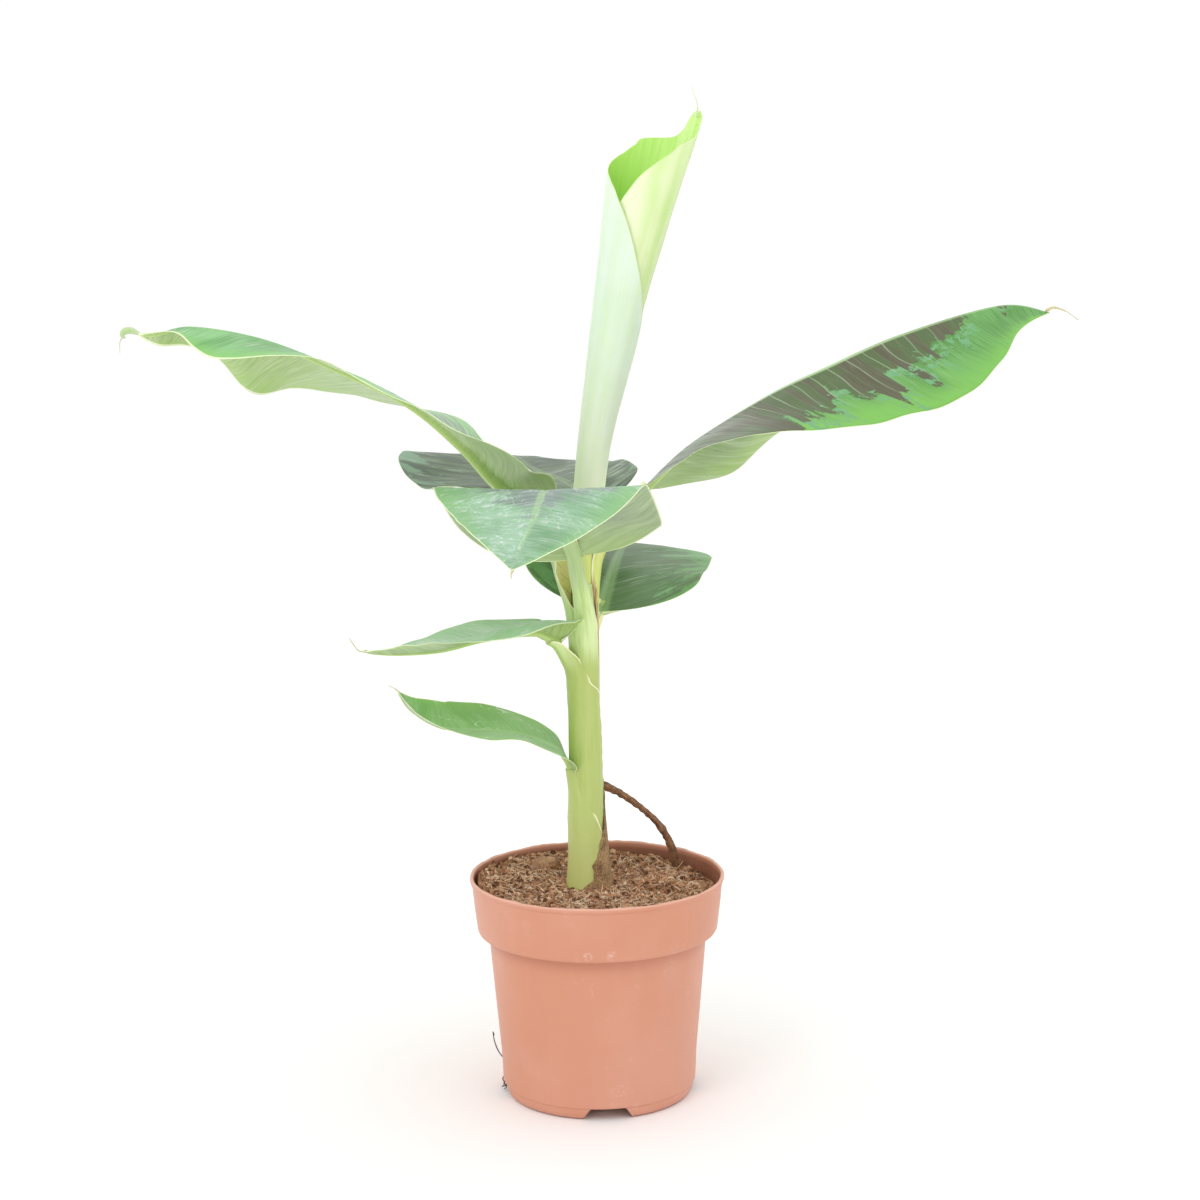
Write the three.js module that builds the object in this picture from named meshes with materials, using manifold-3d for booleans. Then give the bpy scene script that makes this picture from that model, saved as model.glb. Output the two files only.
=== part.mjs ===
// Young banana plant in a plastic nursery pot. Millimetres, +Z up.
// The origin is the centre of the pot's underside; +Y points to the back of the plant.
import * as THREE from 'three';
import { mergeVertices } from 'three/addons/utils/BufferGeometryUtils.js';
import Module from 'manifold-3d';

const wasm = await Module();
wasm.setup();

// ---- driving dimensions ----
const gap = 0.3;              // clearance between pieces that touch
const crumb = 0.06;           // facets narrower than this are merged away
const bladeThickness = 1.4;   // leaf lamina
const wall = 2.2;             // pot wall

const pot = {
  segments: 36,
  height: 186,
  // outer radius against height, foot to lip
  outside: [[75.5, 0], [79.2, 3.5], [81.7, 35], [85.4, 77], [88.4, 112], [90.6, 138.6],
    [98.8, 139.3], [99.8, 141.5], [102.2, 161], [105, 179.5], [105.5, 183.5], [104.6, 186]],
  ledge: [138, 142],          // heights of the flat step under the collar
  floor: [6, 8.6],            // underside and top of the raised floor
  foot: 72,                   // inner radius of the foot ring
  pad: 14,                    // radius of the centre pad that stands on the ground
  notch: { count: 4, height: 9, wide: 40, narrow: 27, turn: 5 },
};

const soil = { level: 177, slopeX: -0.045, slopeY: 0.02, flat: 24 };

const stem = {
  path: [[-6, 0, 177 + gap], [-6, 0, 215], [-8, 0, 270], [-8.5, 0, 335], [-8, 0, 395], [-8, 3, 441]],
  radius: [19, 15.5, 13.5, 12.4, 13, 16],
};

// Every leaf is a midrib curve with two sides. width, lift and curl are read from base to tip:
// half width, angle of the blade at the midrib, and the further bend out to the margin (degrees).
const leaves = {
  right_leaf: {
    spine: [[41, 9, 507], [79, 7, 542], [141, 3, 581], [190, -4, 605], [247, -11, 630], [326, -12, 652],
      [366, -13, 646]],
    left: { width: [86, 80, 83, 83, 81], lift: [-20, -38, -32, -30, -20, -9, 5], curl: [4, 8, 4, -2] },
    right: { width: [46, 80, 82, 89, 85], lift: [-4, -2, -16, -37, -44, -42, -31], curl: [0] },
    base: 0.10, tip: 0.34, blunt: 2, rib: 6,
    tail: [[363, -13, 647], [369, -13, 650], [379, -13, 647], [389, -13, 640]],
    petiole: { path: [[3, 8, 426], [9, 9, 462], [22, 9, 488]], radius: [8, 7, 6.2, 5] },
  },
  left_leaf: {
    spine: [[-38, 8, 489], [-74, 4, 511], [-104, -1, 544], [-147, -3, 580], [-207, -7, 609], [-262, -10, 627],
      [-309, -8, 643], [-344, -12, 637], [-375, -10, 638]],
    left: {
      width: [75, 80, 84, 83, 83, 39], lift: [37, 24, 14, 7, 5, 3, -7, 5, 42], curl: [-13, -5, -1, -16],
    },
    right: {
      width: [46, 74, 81, 83, 74, 58], lift: [32, 19, 9, -8, -18, -32, -48, -22, -60], curl: [-6, 0, 5, 4],
    },
    base: 0.08, tip: 0.40, blunt: 1.6, rib: 6,
    tail: [[-371, -10, 637], [-377, -10, 634], [-378, -10, 627]],
    petiole: { path: [[-17, 4, 424], [-22, 7, 455], [-28, 9, 475]], radius: [8, 7, 6, 5] },
  },
  back_leaf: {
    spine: [[-1, 45, 492], [-21, 79, 503], [-48, 145, 506], [-72, 215, 511], [-88, 285, 488]],
    left: { width: [107, 113, 111], lift: [6, -2, 3, 6], curl: [0] },
    right: { width: [68, 83, 93], lift: [11, 2, -4, -10], curl: [6, 1, -2, -4] },
    base: 0.22, tip: 0.50, blunt: 2.2, rib: 6,
    petiole: { path: [[-8, 16, 424], [-7, 24, 456], [-4, 35, 480]], radius: [8, 7, 6.4, 5.4] },
  },
  front_leaf: {
    spine: [[-14, -34, 457], [-26, -46, 489], [-36, -85, 518], [-46, -137, 500], [-60, -212, 475]],
    left: { width: [100, 78, 76, 86], lift: [5, 4, 5, 8], curl: [2, 0, 0, 0] },
    right: { width: [92, 87, 91, 92], lift: [-4, -1, 8, 20], curl: [-5, -2, 2, 9] },
    base: 0.20, tip: 0.62, blunt: 1.9, rib: 6,
    tail: [[-59, -208, 476], [-60, -214, 473], [-60, -215, 467]],
    petiole: { path: [[-9, -8, 388], [-11, -17, 418], [-13, -27, 441]], radius: [9, 8, 6.8, 5.6] },
  },
  low_back_leaf: {
    spine: [[6, 16, 404], [16, 58, 430], [23, 118, 437], [30, 180, 436], [36, 235, 418]],
    left: { width: [71, 79, 82], lift: [13, 5, -6], curl: [6, 3, 0, -2] },
    right: { width: [74, 79, 80], lift: [2, -1, -8], curl: [0, 2, 1, -2] },
    base: 0.18, tip: 0.50, blunt: 2, rib: 5,
    petiole: { path: [[-2, 6, 366], [3, 11, 388]], radius: [7, 6, 5] },
  },
  mid_left_leaf: {
    spine: [[-52, -20, 393], [-89, -25, 390], [-124, -29, 382], [-160, -32, 380], [-189, -33, 382]],
    left: { width: [54, 49, 44, 43], lift: [12, 7, 19, 33, 50], curl: [20, 10, -4, -10], lobe: 34 },
    right: { width: [50, 54, 48, 44], lift: [4, 0, 6, 12, 13], curl: [-8, 6, 0, -4], lobe: 24 },
    base: 0.12, tip: 0.60, blunt: 1.8, rib: 3.5,
    tail: [[-183, -33, 383], [-190, -33, 383], [-197, -33, 393]],
    petiole: { path: [[-11, 0, 322], [-19, -3, 350], [-33, -10, 376]], radius: [11.5, 8.6, 6.4, 4] },
  },
  low_left_leaf: {
    spine: [[-28, -9, 292], [-59, -11, 307], [-92, -15, 312], [-125, -21, 316], [-150, -19, 330],
      [-161, -19, 347]],
    left: { width: [41, 52, 48, 39], lift: [-4, 6, 7, 21, 30], curl: [12, -2, -1, -18] },
    right: { width: [40, 45, 49, 51], lift: [13, 9, 15, 20, 22], curl: [-5, -1, 5, 12] },
    base: 0.14, tip: 0.60, blunt: 1.8, rib: 3.5,
    tail: [[-158, -19, 344], [-162, -19, 348], [-168, -19, 351]],
    petiole: { path: [[-9, -2, 240], [-17, -6, 268]], radius: [8, 6, 4] },
  },
};

// The youngest leaf is still rolled into a leaning cone. outer and inner are how far its two
// halves wrap round the cone, in degrees away from the midrib, from the foot to the mouth.
const roll = {
  axis: [[-2, 14, 476], [4, 14, 543], [16, 14, 611], [29, 14, 679], [43, 14, 747], [57, 14, 815]],
  radius: [12, 13, 17.5, 22.5, 28.5, 34],
  outer: [310, 334, 345, 345, 338, 294, 220, 138, 50],
  inner: [200, 200, 200, 196, 185, 165, 160, 100, 30],
  spacing: 2.8, rib: 20, tip: 0.14, thickness: 1.2,
  tail: [[88, 26, 804], [88, 22, 812], [85, 18, 821], [82, 14, 830]],
  stalk: { path: [[-7, 6, 441 + 2 * gap], [-4, 11, 459], [-2, 14, 476 - gap]], radius: [9.5, 10.5, 12.4] },
};

const dryStalk = {
  path: [[-4, 6, 258], [22, 20, 246], [48, 36, 220], [59, 52, 196], [64, 61, 173]],
  radius: [2.6, 2.4, 2.2, 2.6, 3.4],
};
const barkChip = { at: [-41, 47], size: [19, 13, 8], turn: -0.35 };

const colours = {
  pot: 0xd99d82, soil: 0x94694f, stem: 0xc6d77c, petiole: 0xbcd487, blade: 0x5f9a72,
  young: 0xa9d98a, dry: 0x7d5b43, bark: 0xb18b6a,
};

// ---- small maths ----
const radians = THREE.MathUtils.degToRad;
const clamp = THREE.MathUtils.clamp;

// Smooth value at t (0 to 1) through an evenly spaced list of numbers or points.
function along(list, t) {
  if (Array.isArray(list[0])) return list[0].map((_, k) => along(list.map(p => p[k]), t));
  if (list.length === 1) return list[0];
  const last = list.length - 1;
  const i = Math.min(Math.floor(clamp(t, 0, 1) * last), last - 1);
  const h = clamp(t, 0, 1) * last - i;
  const [a, b, c, d] = [i - 1, i, i + 1, i + 2].map(j => list[clamp(j, 0, last)]);
  return b + 0.5 * h * (c - a + h * (2 * a - 5 * b + 4 * c - d + h * (3 * (b - c) + d - a)));
}

// Points at equal steps of length along a smooth curve, each with its direction.
function stations(points, steps) {
  const fine = [];
  for (let k = 0; k <= 300; k++) fine.push(new THREE.Vector3(...along(points, k / 300)));
  const length = [0];
  for (let k = 1; k < fine.length; k++) length.push(length[k - 1] + fine[k].distanceTo(fine[k - 1]));
  const at = t => {
    const target = t * length[length.length - 1];
    let k = 1;
    while (k < length.length - 1 && length[k] < target) k++;
    const share = (target - length[k - 1]) / (length[k] - length[k - 1]);
    return fine[k - 1].clone().lerp(fine[k], share);
  };
  const list = [];
  for (let s = 0; s <= steps; s++) {
    const t = s / steps;
    const dir = at(Math.min(t + 0.01, 1)).sub(at(Math.max(t - 0.01, 0))).normalize();
    list.push({ t, at: at(t), dir });
  }
  return list;
}

// ---- closed bodies ----
function solidOf(geometry) {
  const g = geometry.clone();
  g.deleteAttribute('normal');
  g.deleteAttribute('uv');
  const merged = mergeVertices(g, 1e-4);
  return new wasm.Manifold(new wasm.Mesh({
    numProp: 3,
    vertProperties: new Float32Array(merged.attributes.position.array),
    triVerts: new Uint32Array(merged.index.array),
  }));
}

function geometryOf(solid) {
  const pieces = solid.simplify(crumb).decompose();  // a trim can leave slivers and a loose bit behind
  const mesh = pieces.reduce((a, b) => (b.volume() > a.volume() ? b : a)).getMesh();
  const g = new THREE.BufferGeometry();
  g.setAttribute('position', new THREE.Float32BufferAttribute(mesh.vertProperties, 3));
  g.setIndex([...mesh.triVerts]);
  g.computeVertexNormals();
  return g;
}

function bodyFrom(points, faces) {
  const g = new THREE.BufferGeometry();
  g.setAttribute('position', new THREE.Float32BufferAttribute(points.flatMap(p => p.toArray()), 3));
  g.setIndex(faces.flat());
  return g;
}

// Round tapering limb; grow makes it fatter and longer, for cutting a clearance around it.
function limb(path, radius, { sides = 10, steps = 8, grow = 0 } = {}) {
  const rings = stations(path, steps);
  const points = [];
  for (const ring of rings) {
    const side = new THREE.Vector3().crossVectors(ring.dir, new THREE.Vector3(0, 1, 0)).normalize();
    const across = new THREE.Vector3().crossVectors(ring.dir, side);
    const centre = ring.at.clone();
    if (ring.t === 0) centre.addScaledVector(ring.dir, -grow);
    if (ring.t === 1) centre.addScaledVector(ring.dir, grow);
    for (let k = 0; k < sides; k++) {
      const a = (2 * Math.PI * k) / sides;
      const r = along(radius, ring.t) + grow;
      points.push(centre.clone().addScaledVector(side, r * Math.cos(a))
        .addScaledVector(across, r * Math.sin(a)));
    }
  }
  const start = points.push(rings[0].at.clone().addScaledVector(rings[0].dir, -grow)) - 1;
  const end = points.push(rings[steps].at.clone().addScaledVector(rings[steps].dir, grow)) - 1;
  const faces = [];
  for (let k = 0; k < sides; k++) {
    const n = (k + 1) % sides;
    for (let s = 0; s < steps; s++) {
      const [a, b, c, d] = [s * sides + k, s * sides + n, (s + 1) * sides + n, (s + 1) * sides + k];
      faces.push([a, b, c], [a, c, d]);
    }
    faces.push([start, n, k], [end, steps * sides + k, steps * sides + n]);
  }
  return solidOf(bodyFrom(points, faces));
}

// Closes a grid of rows into a thin body; depth(row, column) is how far the lower face lies below.
function sheet(rows, depth) {
  const height = rows.length;
  const width = rows[0].length;
  const normals = rows.map((row, i) => row.map((_, j) => {
    const down = rows[Math.min(i + 1, height - 1)][j].clone().sub(rows[Math.max(i - 1, 0)][j]);
    const over = row[Math.min(j + 1, width - 1)].clone().sub(row[Math.max(j - 1, 0)]);
    return over.cross(down).normalize();
  }));
  const under = rows.map((row, i) => row.map(
    (p, j) => p.clone().addScaledVector(normals[i][j], -depth(i, j))));
  const points = [...rows.flat(), ...under.flat()];
  const top = (i, j) => i * width + j;
  const low = (i, j) => height * width + i * width + j;
  const faces = [];
  const quad = (a, b, c, d) => faces.push([a, b, c], [a, c, d]);
  for (let i = 0; i < height - 1; i++) {
    for (let j = 0; j < width - 1; j++) {
      quad(top(i, j), top(i, j + 1), top(i + 1, j + 1), top(i + 1, j));
      quad(low(i, j), low(i + 1, j), low(i + 1, j + 1), low(i, j + 1));
    }
    quad(top(i, 0), top(i + 1, 0), low(i + 1, 0), low(i, 0));
    quad(top(i + 1, width - 1), top(i, width - 1), low(i, width - 1), low(i + 1, width - 1));
  }
  for (let j = 0; j < width - 1; j++) {
    quad(top(0, j + 1), top(0, j), low(0, j), low(0, j + 1));
    quad(top(height - 1, j), top(height - 1, j + 1), low(height - 1, j + 1), low(height - 1, j));
  }
  return solidOf(bodyFrom(points, faces));
}

// ---- leaves ----
function outline(leaf, t) {
  const foot = Math.sqrt(clamp(1 - (1 - clamp(t / leaf.base, 0, 1)) ** 2, 0, 1));
  return foot * (1 - clamp((t - 1 + leaf.tip) / leaf.tip, 0, 1) ** leaf.blunt);
}

function bladeRows(leaf, steps, across) {
  return stations(leaf.spine, steps).map(({ t, at, dir }) => {
    const side = new THREE.Vector3().crossVectors(dir, new THREE.Vector3(0, 0, 1)).normalize();
    const up = new THREE.Vector3().crossVectors(side, dir);
    const wing = (half, sign) => {
      const width = Math.max(along(half.width, t) * outline(leaf, t), 2);
      const reach = clamp(t / 0.35, 0, 1);
      const back = (half.lobe ?? 0) * 1.6 * (1 - reach) * Math.sin(Math.PI * reach) ** 0.8;
      const row = [];
      let [out, rise] = [0, 0];
      for (let k = 1; k <= across; k++) {
        const bend = radians(along(half.lift, t) + along(half.curl, t) * (k - 0.5) / across);
        out += Math.cos(bend) * width / across;
        rise += Math.sin(bend) * width / across;
        row.push(at.clone().addScaledVector(side, sign * out).addScaledVector(up, rise)
          .addScaledVector(dir, -back * (k / across) ** 1.5));
      }
      return row;
    };
    return [...wing(leaf.left, -1).reverse(), at, ...wing(leaf.right, 1)];
  });
}

function blade(leaf) {
  const [steps, across] = [12, 4];
  const rows = bladeRows(leaf, steps, across);
  const body = sheet(rows, (i, j) => {
    const rib = j === across ? leaf.rib * (1 - 0.75 * i / steps) : 0;
    return bladeThickness + rib;
  });
  return leaf.tail ? body.add(limb(leaf.tail, [1, 0.6], { sides: 5, steps: 3 })) : body;
}

function rolledBlade() {
  const [steps, across] = [15, 18];
  const rows = stations(roll.axis, steps).map(({ t, at, dir }) => {
    const east = new THREE.Vector3(1, 0, 0).addScaledVector(dir, -dir.x).normalize();
    const north = new THREE.Vector3().crossVectors(dir, east);
    const taper = 1 - clamp((t - 1 + roll.tip) / roll.tip, 0, 1) ** 2;
    const from = -Math.max(radians(along(roll.inner, t)) * taper, 0.04);
    const to = Math.max(radians(along(roll.outer, t)) * taper, 0.04);
    const row = [];
    for (let k = 0; k <= across; k++) {
      const turn = from + (to - from) * (k / across);
      const r = along(roll.radius, t) + roll.spacing * turn / (2 * Math.PI);
      const a = radians(roll.rib) + turn;
      row.push(at.clone().addScaledVector(east, r * Math.cos(a)).addScaledVector(north, r * Math.sin(a)));
    }
    return row;
  });
  return sheet(rows, () => roll.thickness).add(limb(roll.tail, [1.2, 0.5], { sides: 5, steps: 4 }));
}

// ---- pot and soil ----
const upright = geometry => geometry.rotateX(Math.PI / 2);   // a lathe turns about Y
const turned = (profile, segments) => upright(new THREE.LatheGeometry(
  profile.map(([r, z]) => new THREE.Vector2(r, z)), segments));

const onLedge = z => z > pot.ledge[0] && z < pot.ledge[1] + 3;
const cavity = pot.outside.slice(2).map(([r, z]) => [r - wall, Math.min(z + (onLedge(z) ? 2.4 : 1), pot.height)])
  .map(([r, z]) => (z === pot.height ? [102.4, z] : [r, z]));
const insideProfile = [[77.2, pot.floor[1]], ...cavity.filter(([, z]) => z < 183), [102.4, pot.height]];

function insideRadius(z) {
  for (let k = 1; k < insideProfile.length; k++) {
    const [[r0, z0], [r1, z1]] = [insideProfile[k - 1], insideProfile[k]];
    if (z <= z1) return r0 + (r1 - r0) * (z - z0) / (z1 - z0);
  }
  return insideProfile[insideProfile.length - 1][0];
}

function potBody() {
  const profile = [[0, 0], [pot.pad, 0], [pot.pad, pot.floor[0]], [pot.foot, pot.floor[0]], [pot.foot, 0],
    ...pot.outside, ...insideProfile.slice().reverse(), [0, pot.floor[1]]];
  let body = solidOf(turned(profile, pot.segments));
  const { count, height, wide, narrow, turn } = pot.notch;
  const shape = new THREE.Shape([[-wide / 2, -1], [wide / 2, -1], [narrow / 2, height], [-narrow / 2, height]]
    .map(([x, z]) => new THREE.Vector2(x, z)));
  for (let k = 0; k < count; k++) {
    const cutter = new THREE.ExtrudeGeometry(shape, { depth: 16, bevelEnabled: false });
    cutter.rotateX(Math.PI / 2).translate(0, -68, 0).rotateZ(radians(turn + 360 * k / count));
    body = body.subtract(solidOf(cutter));
  }
  return body;
}

const soilHeight = (x, y) => {
  const away = clamp((Math.hypot(x + 6, y) - soil.flat) / 20, 0, 1);
  return soil.level + away * (soil.slopeX * x + soil.slopeY * y);
};

// rise lifts the surface, for cutting a clearance above it.
function soilBody(rise = 0) {
  const levels = insideProfile.map(([, z]) => z).filter(z => z > pot.floor[1] && z < 165);
  const side = [pot.floor[1] + gap, ...levels, 166].map(z => [insideRadius(z) - gap, z + (onLedge(z) ? 0.6 : 0)]);
  const top = [99.4, 72, 46, 22].map(r => [r, soil.level]);
  const g = turned([[0, pot.floor[1] + gap], ...side, ...top, [0, soil.level]], pot.segments);
  const p = g.attributes.position;
  for (let k = 0; k < p.count; k++) {
    if (p.getZ(k) > 166.5) p.setZ(k, soilHeight(p.getX(k), p.getY(k)) + rise);
  }
  return solidOf(g);
}

// ---- assembly ----
const group = new THREE.Group();
group.name = 'potted_banana_plant';

function add(name, solid, colour, roughness) {
  const material = new THREE.MeshStandardMaterial({ color: colour, roughness, metalness: 0 });
  const mesh = new THREE.Mesh(geometryOf(solid), material);
  mesh.name = name;
  group.add(mesh);
}

add('pot', potBody(), colours.pot, 0.45);
add('soil', soilBody(), colours.soil, 1);

// Each limb is trimmed clear of the pieces that it grows from.
const clearances = [];
function grown(path, radius, options) {
  const trimmed = clearances.reduce((body, other) => body.subtract(other), limb(path, radius, options));
  clearances.push(limb(path, radius, { ...options, grow: gap }));
  return trimmed;
}

add('pseudostem', grown(stem.path, stem.radius, { sides: 14, steps: 8 }), colours.stem, 0.5);
const rollStalk = grown(roll.stalk.path, roll.stalk.radius, { sides: 12, steps: 3 });
add('rolled_leaf_stalk', rollStalk, colours.young, 0.5);
for (const [name, leaf] of Object.entries(leaves)) {
  const path = [...leaf.petiole.path, leaf.spine[0]];
  add(name.replace('leaf', 'petiole'), grown(path, leaf.petiole.radius, { sides: 8, steps: 6 }),
    colours.petiole, 0.5);
}
const trim = body => clearances.reduce((a, b) => a.subtract(b), body);
for (const [name, leaf] of Object.entries(leaves)) add(name, trim(blade(leaf)), colours.blade, 0.55);
add('rolled_leaf', trim(rolledBlade()), colours.young, 0.5);

// The dead stalk and the bark chip rest on the soil.
const ground = soilBody(gap);
const stalk = trim(limb(dryStalk.path, dryStalk.radius, { sides: 6, steps: 9 }));
add('dry_stalk', stalk.subtract(ground), colours.dry, 0.9);
const chip = new THREE.BoxGeometry(...barkChip.size).rotateZ(barkChip.turn);
chip.translate(...barkChip.at, soil.level + barkChip.size[2] / 2);
add('bark_chip', solidOf(chip).subtract(ground), colours.bark, 0.9);

export default group;
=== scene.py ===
# A young banana plant in a plastic nursery pot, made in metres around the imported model.
import math

import bpy
import numpy as np
from mathutils import Matrix, Vector


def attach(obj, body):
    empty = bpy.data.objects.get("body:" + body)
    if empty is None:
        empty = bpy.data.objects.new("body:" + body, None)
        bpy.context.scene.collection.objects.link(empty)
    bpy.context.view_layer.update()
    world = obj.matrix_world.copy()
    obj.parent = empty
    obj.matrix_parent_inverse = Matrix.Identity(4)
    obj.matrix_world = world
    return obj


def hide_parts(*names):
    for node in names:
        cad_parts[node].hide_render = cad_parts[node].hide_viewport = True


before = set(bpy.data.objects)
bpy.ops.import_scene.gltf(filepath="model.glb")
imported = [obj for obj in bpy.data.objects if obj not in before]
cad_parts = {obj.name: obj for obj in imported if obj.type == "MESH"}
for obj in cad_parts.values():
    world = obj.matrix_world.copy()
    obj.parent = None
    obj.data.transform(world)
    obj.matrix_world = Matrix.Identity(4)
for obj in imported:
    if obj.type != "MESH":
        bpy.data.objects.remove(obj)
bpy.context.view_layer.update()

mm = 0.001


def along(values, t):                       # smooth value at t (0 to 1) through an evenly spaced list
    values = np.asarray(values, float)
    t = np.clip(np.asarray(t, float), 0, 1)
    if len(values) == 1:
        return np.broadcast_to(values[0], t.shape + values.shape[1:]).copy()
    last = len(values) - 1
    i = np.minimum((t * last).astype(int), last - 1)
    h = t * last - i
    if values.ndim > 1:
        h = h[..., None]
    a, b, c, d = (values[np.clip(i + k, 0, last)] for k in (-1, 0, 1, 2))
    return b + 0.5 * h * (c - a + h * (2 * a - 5 * b + 4 * c - d + h * (3 * (b - c) + d - a)))


def through(pairs, t):                      # smooth value at t through [place, value] pairs
    pairs = np.asarray(pairs, float)
    x, y = pairs[:, 0], pairs[:, 1]
    slope = np.gradient(y, x)
    t = np.clip(np.asarray(t, float), x[0], x[-1])
    i = np.clip(np.searchsorted(x, t, side="right") - 1, 0, len(x) - 2)
    w = x[i + 1] - x[i]
    h = (t - x[i]) / w
    return ((2 * h**3 - 3 * h**2 + 1) * y[i] + (h**3 - 2 * h**2 + h) * w * slope[i]
            + (3 * h**2 - 2 * h**3) * y[i + 1] + (h**3 - h**2) * w * slope[i + 1])


def smooth(low, high, x):
    s = np.clip((x - low) / (high - low), 0, 1)
    return s * s * (3 - 2 * s)


def unit(v):
    return v / np.maximum(np.linalg.norm(v, axis=-1, keepdims=True), 1e-9)


def stations(points, steps):                # points at equal steps of length, their directions, the length
    fine = along(points, np.linspace(0, 1, 800))
    travelled = np.concatenate([[0], np.cumsum(np.linalg.norm(np.diff(fine, axis=0), axis=1))])
    length = travelled[-1]

    def at(t):
        t = np.clip(t, 0, 1) * length
        return np.stack([np.interp(t, travelled, fine[:, k]) for k in range(3)], -1)

    t = np.linspace(0, 1, steps + 1)
    return t, at(t), unit(at(t + 0.02) - at(t - 0.02)), length


def ripple(x, y, seed, waves=7):            # gentle unevenness, about -1 to 1, in units of one wavelength
    draw = np.random.default_rng(seed)
    total = 0
    for _ in range(waves):
        turn, size, shift = draw.uniform(0, math.tau), draw.uniform(0.55, 1.6), draw.uniform(0, math.tau)
        total = total + np.sin(math.tau * size * (x * math.cos(turn) + y * math.sin(turn)) + shift)
    return total / math.sqrt(waves)


def addObject(name, data):
    made = bpy.data.objects.new(name, data)
    bpy.context.scene.collection.objects.link(made)
    return made


def newPiece(name, points, faces, material, slot, replaces=(), attributes=None, smoothShade=True):
    mesh = bpy.data.meshes.new(name)
    mesh.from_pydata((np.asarray(points, float) * mm).tolist(), [], [list(map(int, f)) for f in faces])
    for key, values in (attributes or {}).items():
        mesh.attributes.new(key, "FLOAT", "POINT").data.foreach_set("value", np.asarray(values, np.float32))
    mesh.shade_smooth() if smoothShade else mesh.shade_flat()
    mesh.materials.append(material)
    piece = addObject(name, mesh)
    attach(piece, "root")
    if replaces:
        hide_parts(*replaces)
    return piece


def gridFaces(rows, columns, start=0, wrap=False, flip=False):
    over = columns if wrap else columns - 1
    i, j = np.meshgrid(np.arange(rows - 1), np.arange(over), indexing="ij")
    n = (j + 1) % columns
    quads = np.stack([i * columns + j, i * columns + n, (i + 1) * columns + n, (i + 1) * columns + j], -1)
    quads = quads.reshape(-1, 4) + start
    return quads[:, ::-1] if flip else quads


def shellFaces(rows, columns):              # closes an upper and a lower grid into one thin body
    count = rows * columns
    upper = gridFaces(rows, columns)
    lower = gridFaces(rows, columns, count, flip=True)
    numbers = np.arange(count).reshape(rows, columns)
    ring = np.concatenate([numbers[0], numbers[1:, -1], numbers[-1, -2::-1], numbers[-2:0:-1, 0]])
    after = np.roll(ring, -1)
    rim = np.stack([ring, ring + count, after + count, after], -1)
    return np.concatenate([upper, lower, rim])


def ringFaces(rows, columns):               # closed rings that end in a point at the foot and one at the tip
    faces = [list(f) for f in gridFaces(rows, columns, wrap=True)]
    foot, tip, lastRing = rows * columns, rows * columns + 1, (rows - 1) * columns
    for k in range(columns):
        n = (k + 1) % columns
        faces += [[foot, n, k], [tip, lastRing + k, lastRing + n]]
    return faces


def rays(angle, side, up):                  # directions all round a path
    return np.cos(angle)[..., None] * side[:, None] + np.sin(angle)[..., None] * up[:, None]


def compass(direction):                     # towards X and towards Y, square to an upright path
    east = unit(np.array([1.0, 0, 0]) - direction * direction[:, :1])
    return east, np.cross(direction, east)


def fullTurn(count):
    return np.arange(count) * math.tau / count


def turned(points, angle):                  # about the upright axis, from X towards Y
    c, s = math.cos(angle), math.sin(angle)
    return points @ np.array([[c, s, 0], [-s, c, 0], [0, 0, 1]])


def newShell(name, upper, lower, material, slot, replaces, lowerKey, numbers):   # a thin body of two grids
    shape = upper.shape[:2]
    attributes = {key: np.tile(np.broadcast_to(values, shape).ravel(), 2) for key, values in numbers.items()}
    attributes[lowerKey] = np.repeat([0.0, 1.0], shape[0] * shape[1])
    points = np.concatenate([upper.reshape(-1, 3), lower.reshape(-1, 3)])
    newPiece(name, points, shellFaces(*shape), material, slot, replaces, attributes)


def gridNormals(points):
    down = np.gradient(points, axis=0)
    over = np.gradient(points, axis=1)
    return unit(np.cross(over, down))


def tube(path, radius, sides, steps):       # a round tapering limb, closed at both ends
    t, at, direction, _ = stations(path, steps)
    side = unit(np.cross(direction, [0.02, 1, 0.03]))
    up = np.cross(side, direction)
    r = along(radius, t)[:, None, None]
    ring = at[:, None] + r * rays(fullTurn(sides), side, up)
    return np.concatenate([ring.reshape(-1, 3), at[:1], at[-1:]]), ringFaces(steps + 1, sides)


def joined(parts):                          # several (points, faces) as one
    points, faces, start = [], [], 0
    for p, f in parts:
        points.append(np.asarray(p))
        faces += [[int(v) + start for v in face] for face in f]
        start += len(p)
    return np.concatenate(points), faces


def colour(r, g, b):                        # 0 to 255 as seen on a screen, to the shader's linear light
    def linear(v):
        v /= 255
        return v / 12.92 if v <= 0.04045 else ((v + 0.055) / 1.055) ** 2.4
    return (linear(r), linear(g), linear(b), 1)


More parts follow.
